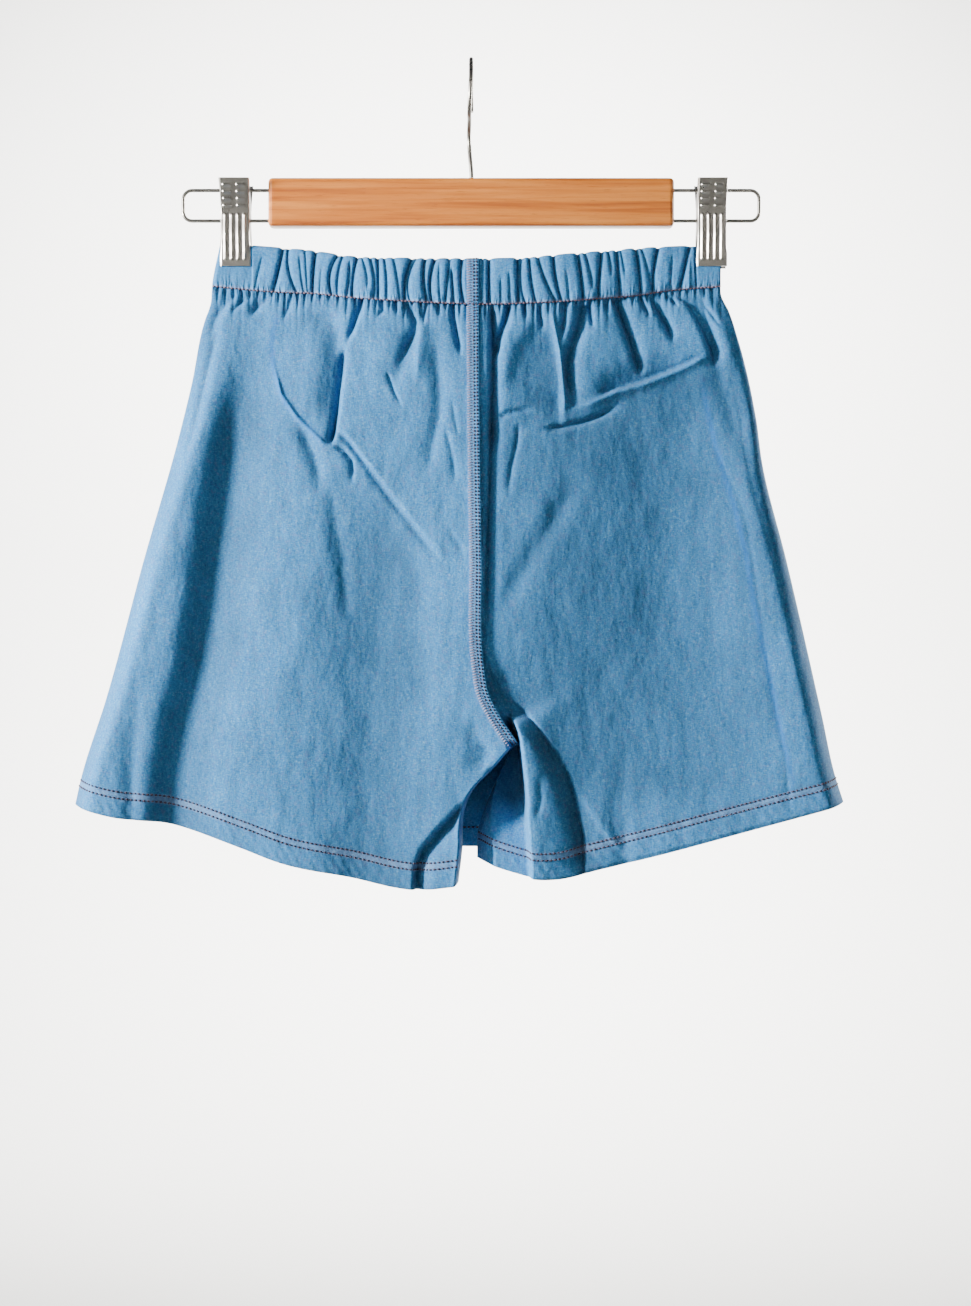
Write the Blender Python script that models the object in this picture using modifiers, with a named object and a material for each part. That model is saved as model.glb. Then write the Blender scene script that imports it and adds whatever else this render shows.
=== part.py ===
"""A pull-on denim skort hung by its waist from a wooden two-clip hanger.

The origin is the top inner point of the hanger's hook, where it bears on what holds it.
+Z is up, +X is to the right of someone who looks at the skort's back, and the back faces -Y.
Tables are in millimetres. "drop" is the distance below the origin, and "out" is the distance
of a surface from the middle plane y = 0, towards the back (-Y) or towards the front (+Y).
"""
import math
from collections import namedtuple

import bmesh
import bpy
import numpy as np

MM = 0.001
SEAM_GAP = 0.3           # between pieces that touch
CLOTH = 1.4              # wall of one layer of stretch denim
HEM = 2.4                # wall of the turned-up hem
FRONT_CLOTH = 1.2
SKIRT_CLOTH = 1.3
STEEPEST = 1.7           # a wall measured along Y is at most this many times its true thickness

DENIM = (0.10, 0.27, 0.45)
SEAM_DENIM = (0.14, 0.24, 0.38)
WOOD = (0.62, 0.30, 0.12)
CHROME = (0.62, 0.61, 0.58)
SHARP_ANGLE = 40         # degrees

Edge = namedtuple("Edge", "drop x")
Rim = namedtuple("Rim", "x drop")
Depth = namedtuple("Depth", "drop out")
Gather = namedtuple("Gather", "top foot depth")
Fold = namedtuple("Fold", "name depth left right fade_in fade_out points")
CasingRow = namedtuple("CasingRow", "share wall gather")
PlateRow = namedtuple("PlateRow", "drop out rib")

# Outline of the garment as it hangs.
LEFT_SIDE = [Edge(114, -158), Edge(141, -163.3), Edge(152, -164.2), Edge(163, -168), Edge(202, -176),
             Edge(232, -183), Edge(314, -206), Edge(401, -229.4), Edge(450, -244.8), Edge(466, -248.4)]
RIGHT_SIDE = [Edge(116, 157.8), Edge(140, 157), Edge(147, 157.6), Edge(156, 162), Edge(174, 168),
              Edge(225, 179.6), Edge(251, 183), Edge(314, 198.4), Edge(410, 220.2), Edge(450, 229),
              Edge(465, 233.8)]
WAIST = [Rim(-158, 114.3), Rim(-120, 117.2), Rim(-97, 119.7), Rim(-80, 122.8), Rim(-61, 124.2),
         Rim(-29, 124.9), Rim(1, 125), Rim(32, 124.6), Rim(58, 122.3), Rim(84, 119.7), Rim(103, 117.8),
         Rim(140, 115.9), Rim(158, 115.8)]
CASING_SEAM = [Rim(-163.5, 140.9), Rim(-144, 142.9), Rim(-122, 144.8), Rim(-99, 146.1),
               Rim(-74, 149.3), Rim(-41, 151.8), Rim(-9, 153.3), Rim(6, 153.7), Rim(32, 153.1),
               Rim(58, 151.8), Rim(84, 149.3), Rim(103, 147.4), Rim(122, 144.2), Rim(157, 141.1)]
CENTRE_SEAM = [Edge(116, 1.2), Edge(205, 1.5), Edge(314, 3), Edge(380, 4.4), Edge(398, 7.5),
               Edge(413, 15), Edge(430, 26.3)]
CROTCH = 430.0
LEFT_INSEAM = [Edge(430, 26.3), Edge(445, 13.4), Edge(456, 2.5), Edge(468, -3.2), Edge(476, -4.8),
               Edge(493, -5.2), Edge(516, -7.8)]
RIGHT_INSEAM = [Edge(430, 26.3), Edge(442, 20.4), Edge(454, 14.6), Edge(468, 8.8), Edge(483, 4.2),
                Edge(500, 3.5)]
LEFT_HEM = [Rim(-248.4, 466), Rim(-219, 473.5), Rim(-188, 477.2), Rim(-166, 483), Rim(-140, 492),
            Rim(-115, 501.3), Rim(-70, 511), Rim(-44, 517), Rim(-34, 518.2), Rim(-7.8, 515.8)]
RIGHT_HEM = [Rim(3.5, 500.2), Rim(24, 507.4), Rim(39, 511.2), Rim(50, 511.2), Rim(77, 505),
             Rim(108, 497.4), Rim(155, 485), Rim(193, 475), Rim(233.8, 464.6)]
SKIRT_HEM = [Rim(-248.2, 466.2), Rim(-200, 477.5), Rim(-153, 489.6), Rim(-76, 494.5), Rim(0, 495.8),
             Rim(82, 494), Rim(155, 483.4), Rim(193, 473.5), Rim(233.6, 464.4)]
PANEL_TOP = 150.0        # level at which a panel's top corners are set out
FRONT_HEM_RISE = 5.0     # the hidden fronts end this far above the backs
LAYER_CLEAR = 1.0        # least air between the skirt and the fronts, away from the seams

# How far each layer stands off the middle plane, halfway between the sides.
BACK_DEPTH = [Depth(116, 6.5), Depth(154, 8.5), Depth(200, 13), Depth(280, 17.5), Depth(400, 23),
              Depth(520, 27)]
FRONT_DEPTH = [Depth(116, 6.5), Depth(154, 6.5), Depth(250, 6), Depth(430, 5), Depth(520, 7)]
SKIRT_DEPTH = [Depth(116, 7.4), Depth(154, 7.8), Depth(200, 10.5), Depth(300, 14), Depth(400, 17),
               Depth(520, 20)]
PINCH_HALF = 137.0       # the clips hold the waist flat from here outwards
PINCH_EASE = 95.0
SIDE_ROUND = 24.0        # the body rounds to its side seams over this width
INSEAM_ROUND = 16.0
BODY_FROM, BODY_TO = 143.0, 240.0   # from the pinched waist to the full body
CASING_FOOT = 154.0      # the casing keeps the depth that it has above this level
CROTCH_EASE = 30.0
INSEAM_DEPTH = [Depth(380, 9), Depth(430, 8), Depth(470, 4), Depth(520, 2)]   # behind the middle plane

# Gathers of the casing, from the side to the side, with each valley's x at its top and foot.
LEFT_GATHERS = [
    Gather(-127.6, -133.8, 0.7), Gather(-118.1, -124.6, 1.5), Gather(-113.4, -114.2, 1.5),
    Gather(-109.2, -109.3, 0.6), Gather(-103.2, -104, 1.0), Gather(-97.1, -99, 1.6),
    Gather(-84.1, -87.6, 1.5), Gather(-79.2, -83.3, 0.7), Gather(-75.3, -77.6, 1.1),
    Gather(-71.1, -72.8, 1.6), Gather(-64.3, -64, 0.6), Gather(-58.5, -59.3, 1.8),
    Gather(-54, -52, 1.5), Gather(-48.6, -45.5, 0.8), Gather(-37.2, -39.1, 1.7),
    Gather(-33.3, -35.4, 1.1), Gather(-28, -29.9, 1.5), Gather(-22.7, -24.6, 1.7),
    Gather(-16.6, -18.1, 0.8), Gather(-11.2, -12, 1.6), Gather(-6.5, -7, 1.7)]
RIGHT_GATHERS = [
    Gather(10.6, 11.2, 1.6), Gather(15.4, 14.8, 0.7), Gather(21.6, 20.1, 0.8), Gather(25.5, 24.3, 1.0),
    Gather(30.1, 30, 1.7), Gather(35, 35.2, 1.0), Gather(38.6, 40, 1.6), Gather(43, 48.5, 1.3),
    Gather(52.2, 56, 1.8), Gather(57.8, 63.4, 0.8), Gather(66.3, 69.7, 1.7), Gather(72.5, 75.4, 1.1),
    Gather(81.6, 79.3, 1.7), Gather(86.2, 88, 0.7), Gather(91.9, 93.5, 1.7), Gather(96.1, 98.2, 0.6),
    Gather(103.6, 106, 1.7), Gather(108.6, 109.8, 0.6), Gather(118.1, 113.7, 1.6),
    Gather(126.6, 125.7, 0.8), Gather(138.5, 132, 1.6), Gather(141.6, 141, 0.8)]
FRONT_GATHERS = 36
FRONT_GATHER_HALF = 133.0
FRONT_GATHER_DEPTH = 1.3
CASING_ROWS = [CasingRow(0, 1.6, 0.75), CasingRow(0.1, 3.0, 1.0), CasingRow(0.55, 3.2, 1.0),
               CasingRow(0.9, 2.5, 0.9), CasingRow(1, 1.9, 0.6)]
THINNEST_CASING = 1.0
UNDER_SEAM_RISE = 0.4    # the casing is this much fuller under the lapped seam

# Largest folds: points are x and drop along the lowest line, and left and right are the widths of a
# fold's two sides for someone who looks at the back and follows it down. A depth below 0 is a ridge.
LEFT_FOLDS = [
    Fold("side to hem", 9.5, 9.5, 20, 0.3, 0,
         [(-139, 158), (-141.4, 195.3), (-149, 225.5), (-158.6, 263.3), (-163.4, 301.1), (-168.5, 338.9),
          (-174, 376.7), (-184, 414.5), (-189.6, 452.3), (-189, 484)]),
    Fold("fall by the side", 2.4, 5, 5, 0.2, 0.4, [(-158, 163), (-164, 190), (-170, 222), (-180, 262)]),
    Fold("slant under the clip", 3, 5, 5, 0.1, 0.4,
         [(-148.4, 144.5), (-154.7, 152), (-161, 162), (-165, 178)]),
    Fold("second slant under the clip", 2.6, 5, 5, 0.1, 0.5, [(-127.4, 145.8), (-132.6, 152), (-139.5, 163)]),
    Fold("hip crease", -1.4, 5, 5, 0.35, 0.1,
         [(-125, 186), (-117.9, 211.5), (-108.1, 225.5), (-98.3, 235.3), (-88.5, 244.5)]),
    Fold("pleat, its roll", 4, 7, 5, 0.2, 0.2,
         [(-104.5, 154.5), (-97.5, 160.4), (-89.2, 164), (-86.7, 173.7), (-87.4, 191.9), (-89.6, 208.7),
          (-91, 232)]),
    Fold("pleat, its slit", 4.6, 5, 5, 0.14, 0.1,
         [(-78.5, 178), (-80, 182), (-81.6, 196.1), (-83.6, 210.1), (-84.8, 222.7), (-88, 243.5)]),
    Fold("gather into the pleat", 3.2, 5, 5, 0.05, 0.35,
         [(-67.8, 148), (-69.2, 156.9), (-73, 168), (-78.5, 181)]),
    Fold("long slant to the seam", 2.2, 5, 5, 0.1, 0.25,
         [(-85, 232), (-75.5, 240.5), (-65, 254.5), (-49.5, 275.5), (-35, 294), (-22, 309.5), (-14, 320)]),
    Fold("roll of the long slant", -1.8, 5, 9, 0.1, 0.25,
         [(-78, 231), (-67, 245), (-57, 258), (-41.5, 279.5), (-27, 298), (-14, 313.5)]),
    Fold("gather end", 3.6, 5, 5, 0.08, 0.35,
         [(-40.6, 151), (-37.8, 158.3), (-34.4, 164.6), (-35, 172.3), (-40.2, 182.1), (-46, 195)]),
    Fold("hollow beside it", 2.4, 6, 5, 0.2, 0.5, [(-35, 167), (-38, 181), (-45, 198), (-50, 214)]),
    Fold("roll beside it", -1.5, 5, 5, 0.3, 0.4, [(-29.7, 158), (-31.8, 172), (-33, 188), (-33.6, 206)]),
    Fold("gather end by the seam", 3.6, 5, 5, 0.05, 0.3,
         [(-10.8, 152), (-10.4, 162), (-8.6, 172), (-6.8, 181), (-6.4, 189)]),
    Fold("soft groove", 3.4, 5, 5, 0.25, 0.35,
         [(-22.4, 168), (-20.8, 190), (-19.4, 212), (-19.9, 225.5), (-23.4, 240), (-29, 270)]),
    Fold("short one by the seam", 2, 5, 5, 0.2, 0.3,
         [(-16.4, 231), (-12.4, 244), (-10.2, 256.3), (-9.6, 268)]),
    Fold("broad hollow", 5.6, 33, 30, 0.3, 0, [(-80, 235), (-75, 275), (-72, 330), (-71, 400), (-75, 510)]),
    Fold("hollow to the crotch", 2.2, 12, 9, 0.3, 0.2, [(-36, 290), (-34, 350), (-28, 410)]),
    Fold("hollow by the crotch", 1.6, 7, 5, 0.3, 0.3, [(1, 410), (5, 430), (1, 450)]),
    Fold("edge over its inner part", 5, 7, 9, 0.05, 0,
         [(14, 441), (5.8, 452.5), (-3.6, 464.9), (-12.9, 475), (-19.2, 481.3), (-25.5, 488.8),
          (-30.5, 495.1), (-33.7, 504), (-34.6, 520)])]
RIGHT_FOLDS = [
    Fold("groove by the seam", 6, 4.2, 5, 0.06, 0.3,
         [(12.6, 152), (13.6, 185), (13, 226), (12.4, 250), (11.6, 275), (10.4, 305), (9.8, 335),
          (9.8, 372)]),
    Fold("gather into the groove", 2.6, 5, 5, 0.08, 0.2, [(24.4, 153), (21.7, 165.1), (17.4, 176), (15, 188)]),
    Fold("diagonal hollow", 2.8, 7, 5, 0.2, 0.3,
         [(49, 160), (42, 172.6), (33.6, 185.2), (27.4, 204.1), (25.4, 216)]),
    Fold("upright roll", -2.2, 5, 5, 0.2, 0.15,
         [(49.8, 156), (52.6, 171.3), (55.6, 187.7), (57.4, 202.8), (58.2, 214.2), (58, 226)]),
    Fold("gather beside the roll", 5.4, 5, 5, 0.05, 0.25,
         [(69.9, 152), (67.3, 167.5), (62.9, 180.1), (60.4, 189), (60.6, 201.6), (62.4, 212), (65.6, 221)]),
    Fold("long gather end", 4.6, 5, 5, 0.05, 0.2,
         [(90.6, 148.6), (95, 162.5), (99.6, 176.4), (103.2, 187.7), (106.6, 199)]),
    Fold("gather end towards the side", 3.8, 5, 5, 0.05, 0.3,
         [(113.3, 147), (118.1, 157.5), (123.4, 167.5), (127.6, 179)]),
    Fold("pleat under the clip", 5.4, 5, 5.4, 0.06, 0.2,
         [(129.4, 143.8), (137.4, 150.2), (143.6, 161.2), (148.4, 172.6), (151.8, 182), (153, 194)]),
    Fold("its soft fall", 2, 6, 7, 0.2, 0.5, [(152.6, 184), (156, 198), (160, 212), (166, 232), (172, 262)]),
    Fold("hollow over the hip slant", 2.8, 9, 5, 0.25, 0.25,
         [(136, 189), (120, 194.5), (106, 199.5), (90, 204.5), (77, 211)]),
    Fold("slant over the hip", -3, 5, 5, 0.12, 0.2,
         [(149, 185.5), (133, 193.6), (119.6, 199.4), (107, 204.4), (90.6, 209), (75.4, 216), (62, 220)]),
    Fold("crease under the slant", 3.6, 5, 5, 0.3, 0.3,
         [(94.6, 214.4), (87.9, 219.6), (80.3, 223.6), (70.3, 227.4), (60.2, 229.9), (50.1, 231.6),
          (42, 232.2)]),
    Fold("broad hollow", 9, 66, 58, 0.25, 0.35, [(106, 205), (112, 250), (113, 320), (108, 390), (100, 480)]),
    Fold("pressed side crease", -1.2, 6, 6, 0.15, 0.1,
         [(144, 192.2), (152.8, 242.6), (171, 310.6), (183.6, 381.8), (197, 474)]),
    Fold("fold from the seam's foot", 7, 9, 7, 0.12, 0,
         [(9.8, 374), (12.9, 384.3), (18.6, 395.6), (26.2, 404.4), (31.2, 406.9), (38.8, 415.8),
          (46.3, 425.8), (53.9, 437.2), (60.2, 449.8), (64, 462.4), (66.5, 475), (69, 485.1), (70.3, 512)]),
    Fold("ridge inside the leg", -2.6, 5, 5, 0.06, 0,
         [(25, 411), (28.4, 418.3), (31, 429.6), (32.4, 442.2), (34.2, 454.8), (35, 463.6), (34.9, 472.5),
          (36.2, 485.1), (37.8, 514)])]
SKIRT_FOLDS = [
    Fold("skirt fold 1", 2.6, 9, 9, 0.1, 0, [(-120, 150), (-138, 260), (-160, 380), (-176, 490)]),
    Fold("skirt fold 2", 2.0, 7, 7, 0.1, 0.4, [(-72, 155), (-80, 230), (-86, 330)]),
    Fold("skirt fold 3", 2.4, 9, 9, 0.1, 0, [(-30, 157), (-36, 270), (-52, 400), (-60, 500)]),
    Fold("skirt fold 4", 2.0, 7, 7, 0.1, 0.4, [(14, 158), (16, 240), (22, 350)]),
    Fold("skirt fold 5", 2.6, 9, 9, 0.1, 0, [(60, 156), (76, 280), (92, 400), (104, 500)]),
    Fold("skirt fold 6", 2.0, 8, 8, 0.1, 0, [(118, 150), (140, 280), (160, 390), (174, 490)])]
SIDE_FADE = 14.0         # folds die out over this width at the side seams
CROTCH_FADE = 12.0       # and below the crotch, from this far above it,
INSEAM_FADE = 6.0        # over this width at the inseam

# Grids of the panels: a column's share of the way from the side seam to the strip of the centre seam.
# The last two columns of a back panel are the edge of that strip and the seam itself.
SEAM_HALF = 4.1          # half the width of the lapped seam
ROWS_UP, ROWS_DOWN = 22, 7           # above and below the crotch
TOP_CROWDING = 1.25                  # above 1, rows lie closer under the casing
CROTCH_AT_SIDE = 0.78                # share of the side's height that is level with the crotch
HEM_TOP, HEM_TURN = 0.952, 0.956     # shares of the height at which the turned-up hem begins
FRONT_EVERY_UP, FRONT_EVERY_DOWN = 3, 2   # the hidden fronts keep every third and second row
LEFT_COLUMNS = [0, 0.012, 0.03, 0.06, 0.095, 0.13, 0.165, 0.2, 0.235, 0.27, 0.305, 0.345, 0.385, 0.425,
                0.465, 0.5, 0.535, 0.575, 0.615, 0.655, 0.695, 0.735, 0.775, 0.815, 0.855, 0.89, 0.92, 0.95,
                0.975, 1, 1]
RIGHT_COLUMNS = [0, 0.012, 0.03, 0.06, 0.095, 0.13, 0.165, 0.205, 0.245, 0.285, 0.33, 0.375, 0.42, 0.465,
                 0.51, 0.555, 0.6, 0.64, 0.68, 0.72, 0.755, 0.79, 0.825, 0.86, 0.89, 0.915, 0.935, 0.955,
                 0.97, 0.985, 1, 1]
FRONT_COLUMNS = [0, 0.06, 0.14, 0.24, 0.34, 0.44, 0.54, 0.64, 0.74, 0.84, 0.93, 1]
SKIRT_COLUMNS, SKIRT_ROWS, SKIRT_CROWDING = 30, 14, 1.15
SEAM_STRIP = 0.9

# Hanger.
BAR_LENGTH, BAR_HEIGHT, BAR_THICK = 255.0, 30.5, 12.0
BAR_MIDDLE = 88.7        # drop of the bar's middle
BAR_EDGE = 2.6
HOOK_WIRE = 1.3          # radius
HOOK_ROUND = 22.0        # radius of the hook's centre line
HOOK_IN_BAR = 14.0
LOOP_WIRE = 1.1
LOOP_TOP, LOOP_FOOT = 80.6, 99.8
LOOP_END = 181.4
LOOP_CORNER = 5.5
LOOP_IN_BAR = 12.0
HOLE_EASE = 0.35

CLIP_WIDTH = 18.4
CLIP_PLATE = 1.0
CLIP_LEFT, CLIP_RIGHT = -148.2, 151.2
CLIP_RIB = 0.8
CLIP_RIB_PITCH = 4.0
CLIP_RIB_WIDTH = 2.2
PLATE = [PlateRow(75.2, 11.6, 0), PlateRow(79, 10.2, 0), PlateRow(83.5, 8.6, 0), PlateRow(89, 6.4, 0),
         PlateRow(95, 4.95, 0), PlateRow(96.4, 4.8, 1), PlateRow(111, 4.7, 1), PlateRow(116, 3.9, 1),
         PlateRow(119, 3.55, 1), PlateRow(125.6, 3.5, 1), PlateRow(127, 3.5, 0), PlateRow(129, 3.6, 0)]
SPRING_WIDTH = 12.0
SPRING_THICK = 0.9
SPRING_OUT = 4.4
SPRING_FOOT = 110.5


def smooth_curve(table):
    """A smooth line through a short table, as a function of its first column."""
    t = np.array([row[0] for row in table], float)
    f = np.array([row[1] for row in table], float)
    slope = np.gradient(f, t)

    def value(q):
        q = np.asarray(q, float)
        i = np.clip(np.searchsorted(t, q) - 1, 0, len(t) - 2)
        step = t[i + 1] - t[i]
        s = np.clip((q - t[i]) / step, 0, 1)
        inside = ((2 * s**3 - 3 * s**2 + 1) * f[i] + (s**3 - 2 * s**2 + s) * step * slope[i]
                  + (3 * s**2 - 2 * s**3) * f[i + 1] + (s**3 - s**2) * step * slope[i + 1])
        before = np.minimum(q - t[0], 0) * slope[0]
        after = np.maximum(q - t[-1], 0) * slope[-1]
        return inside + before + after

    return value


def ease(t):
    t = np.clip(t, 0, 1)
    return t * t * (3 - 2 * t)


def quarter_round(distance, radius):
    """Rises from 0 at an edge to 1 over the radius, as a quarter of an ellipse does."""
    t = np.clip(distance / radius, 0, 1)
    return np.sqrt(1 - (1 - t)**2)


left_side = smooth_curve(LEFT_SIDE)
right_side = smooth_curve(RIGHT_SIDE)
waist_drop = smooth_curve(WAIST)
casing_drop = smooth_curve(CASING_SEAM)
seam_above = smooth_curve(CENTRE_SEAM)
left_below = smooth_curve(LEFT_INSEAM)
right_below = smooth_curve(RIGHT_INSEAM)
back_depth = smooth_curve(BACK_DEPTH)
front_depth = smooth_curve(FRONT_DEPTH)
skirt_depth = smooth_curve(SKIRT_DEPTH)
inseam_depth = smooth_curve(INSEAM_DEPTH)


def left_inner(drop):
    """The left leg's inner edge: the centre seam down to the crotch, then the inseam."""
    return np.where(drop < CROTCH, seam_above(np.minimum(drop, CROTCH)), left_below(drop)) - SEAM_GAP / 2


def right_inner(drop):
    return np.where(drop < CROTCH, seam_above(np.minimum(drop, CROTCH)), right_below(drop)) + SEAM_GAP / 2


def fullness(x, drop):
    """0 where back and front meet, at the side seams and clips, and 1 in the open body."""
    lens = ease((PINCH_HALF - np.abs(x)) / PINCH_EASE)
    to_side = np.minimum(x - left_side(drop), right_side(drop) - x)
    body = quarter_round(to_side, SIDE_ROUND)
    return lens + (body - lens) * ease((drop - BODY_FROM) / (BODY_TO - BODY_FROM))


def to_inseam(x, drop, inner):
    """1 at the inseam and the crotch, where back and front meet, easing to 0 away from them."""
    legs = ease((drop - CROTCH + CROTCH_EASE) / CROTCH_EASE)
    near = np.clip(np.abs(x - inner(drop)) / INSEAM_ROUND, 0, 1)
    return legs * (1 - np.sin(near * math.pi / 2))


def along_path(x, drop, points):
    """Signed distance to a path (+ on its right, going down) and the share of its length there."""
    path = np.array(points, float)
    lengths = np.hypot(*(path[1:] - path[:-1]).T)
    run = np.concatenate([[0], np.cumsum(lengths)])
    best = np.full(x.shape, np.inf)
    share = np.zeros(x.shape)
    side = np.ones(x.shape)
    for a, b, start, length in zip(path[:-1], path[1:], run[:-1], lengths):
        way = (b - a) / length
        reach = np.clip((x - a[0]) * way[0] + (drop - a[1]) * way[1], 0, length)
        dx = x - a[0] - way[0] * reach
        dd = drop - a[1] - way[1] * reach
        distance = np.hypot(dx, dd)
        nearer = distance < best
        best = np.where(nearer, distance, best)
        share = np.where(nearer, (start + reach) / run[-1], share)
        side = np.where(nearer, np.where(dx * way[1] - dd * way[0] >= 0, 1, -1), side)
    return best * side, share


def fold_relief(x, drop, folds):
    """How far folds sink (-) or raise (+) the cloth at each point."""
    relief = np.zeros(x.shape)
    for fold in folds:
        signed, share = along_path(x, drop, fold.points)
        strength = 1.0
        if fold.fade_in:
            strength = strength * ease(share / fold.fade_in)
        if fold.fade_out:
            strength = strength * ease((1 - share) / fold.fade_out)
        width = np.where(signed < 0, fold.left, fold.right)
        relief -= fold.depth * strength * np.exp(-(signed / width)**2)
    return relief


def side_fade(x, drop):
    """0 at the side seams, where the layers are sewn together, and 1 away from them."""
    return ease(np.minimum(x - left_side(drop), right_side(drop) - x) / SIDE_FADE)


def inner_fade(x, drop, inner):
    """0 at the inseam below the crotch and 1 away from it."""
    legs = ease((drop - CROTCH + CROTCH_FADE) / CROTCH_FADE)
    return 1 - legs * (1 - ease(np.abs(x - inner(drop)) / INSEAM_FADE))


def back_out(x, drop, inner, folds):
    """Outer surface of a back panel: how far it stands off the middle plane."""
    relief = fold_relief(x, drop, folds) * side_fade(x, drop) * inner_fade(x, drop, inner)
    inseam = to_inseam(x, drop, inner)
    body = back_depth(drop) * fullness(x, drop) * (1 - inseam)
    return SEAM_GAP / 2 + CLOTH + np.maximum(body + relief, 0) + inseam_depth(drop) * inseam


def wall(name, outer, inner, material, collection):
    """A closed wall between two grids of points in millimetres, its rims joining their edges."""
    rows, columns = outer.shape[:2]
    mesh = bpy.data.meshes.new(name)
    shape = bmesh.new()
    front = [[shape.verts.new(outer[r, c] * MM) for c in range(columns)] for r in range(rows)]
    rear = [[shape.verts.new(inner[r, c] * MM) for c in range(columns)] for r in range(rows)]
    for r in range(rows - 1):
        for c in range(columns - 1):
            shape.faces.new((front[r][c], front[r][c + 1], front[r + 1][c + 1]))
            shape.faces.new((front[r][c], front[r + 1][c + 1], front[r + 1][c]))
            shape.faces.new((rear[r][c], rear[r + 1][c + 1], rear[r][c + 1]))
            shape.faces.new((rear[r][c], rear[r + 1][c], rear[r + 1][c + 1]))
    for r in range(rows - 1):
        for c in (0, columns - 1):
            shape.faces.new((front[r][c], front[r + 1][c], rear[r + 1][c], rear[r][c]))
    for c in range(columns - 1):
        for r in (0, rows - 1):
            shape.faces.new((front[r][c], front[r][c + 1], rear[r][c + 1], rear[r][c]))
    bmesh.ops.recalc_face_normals(shape, faces=shape.faces)
    shape.to_mesh(mesh)
    shape.free()
    return add_mesh(name, mesh, material, collection)


def add_mesh(name, mesh, material, collection):
    piece = bpy.data.objects.new(name, mesh)
    mesh.materials.append(material)
    mesh.shade_smooth()
    mesh.set_sharp_from_angle(angle=math.radians(SHARP_ANGLE))
    collection.objects.link(piece)
    return piece


def finish(name, colour, roughness, metallic=0.0):
    """A plain finish for one piece."""
    material = bpy.data.materials.new(name)
    material.use_nodes = True
    shader = material.node_tree.nodes["Principled BSDF"]
    shader.inputs["Base Color"].default_value = (*colour, 1)
    shader.inputs["Roughness"].default_value = roughness
    shader.inputs["Metallic"].default_value = metallic
    return material


def grid(x, drop, y):
    return np.stack([x, y, -drop], axis=-1)


def wall_depth(x, drop, out, cloth):
    """Thickness measured along Y, so that a sloping stretch keeps its true wall."""
    across = np.gradient(out, axis=1) / np.maximum(np.abs(np.gradient(x, axis=1)), 0.1)
    down = np.gradient(out, axis=0) / np.maximum(np.abs(np.gradient(drop, axis=0)), 0.1)
    slope = np.minimum(np.sqrt(1 + across**2 + down**2), STEEPEST)
    slope[:, [0, -1]] = 1
    return cloth * slope


def row_shares(crotch_share):
    """Shares of a panel's height: closer under the casing, one row at the crotch, two at the hem."""
    above = crotch_share * (np.arange(ROWS_UP + 1) / ROWS_UP)**TOP_CROWDING
    below = crotch_share + (HEM_TOP - crotch_share) * np.arange(1, ROWS_DOWN + 1) / ROWS_DOWN
    return np.concatenate([above, below, [HEM_TURN, 1.0]])


def panel_grid(hem_table, side, inner, seam_first, reach, rise=0.0, strip=0.0):
    """x and drop of a leg panel's points, in rows from the casing to the hem.

    Both panels share the drops of their rows along the centre seam, and the last column but one
    keeps the width of a strip for it.
    """
    hem = smooth_curve(hem_table)
    seam_x = hem_table[0].x if seam_first else hem_table[-1].x
    side_x = hem_table[-1].x if seam_first else hem_table[0].x
    top_seam = float(casing_drop(seam_above(PANEL_TOP))) + SEAM_GAP
    hem_seam = float(hem(seam_x)) - rise
    share = np.array(reach, float)[None, :]
    shares_side = row_shares(CROTCH_AT_SIDE)[:, None]
    shares_seam = row_shares((CROTCH - top_seam) / (hem_seam - top_seam))[:, None]
    x_top = side(PANEL_TOP) + share * (inner(PANEL_TOP) - side(PANEL_TOP))
    x_hem = side_x + share * (seam_x - side_x)
    top = casing_drop(x_top) + SEAM_GAP
    foot = hem(x_hem) - rise
    drop = top + (foot - top) * (shares_side + (shares_seam - shares_side) * share)
    start = side(drop)
    end = inner(drop)
    before_strip = end + (strip if seam_first else -strip)
    x = start + share * (before_strip - start)
    x[:, -1] = end[:, -1]
    return (x[:, ::-1], drop[:, ::-1]) if seam_first else (x, drop)


def back_panel(name, hem, side, inner, seam_first, columns, folds, material, collection):
    x, drop = panel_grid(hem, side, inner, seam_first, columns, strip=SEAM_HALF)
    out = back_out(x, drop, inner, folds)
    thick = wall_depth(x, drop, out, CLOTH)
    thick[-2:, :] += HEM - CLOTH
    thick = np.minimum(thick, out - SEAM_GAP / 2 - inseam_depth(drop) * to_inseam(x, drop, inner))
    outer = grid(x, drop, -out)
    wall(name, outer, grid(x, drop, -(out - thick)), material, collection)
    return outer


def front_panel(name, hem, side, inner, seam_first, material, collection):
    """A hidden front of a short leg, on the other side of the middle plane."""
    x, drop = panel_grid(hem, side, inner, seam_first, FRONT_COLUMNS, FRONT_HEM_RISE)
    above = range(FRONT_EVERY_UP, ROWS_UP - 2, FRONT_EVERY_UP)
    below = range(ROWS_UP + 2, len(x), FRONT_EVERY_DOWN)
    keep = sorted({0, *above, ROWS_UP, *below, len(x) - 1})
    x = x[keep]
    drop = drop[keep]
    inseam = to_inseam(x, drop, inner)
    body = front_depth(drop) * fullness(x, drop) * (1 - inseam)
    near = SEAM_GAP / 2 + body - inseam_depth(drop) * inseam
    wall(name, grid(x, drop, near + FRONT_CLOTH), grid(x, drop, near), material, collection)


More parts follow.
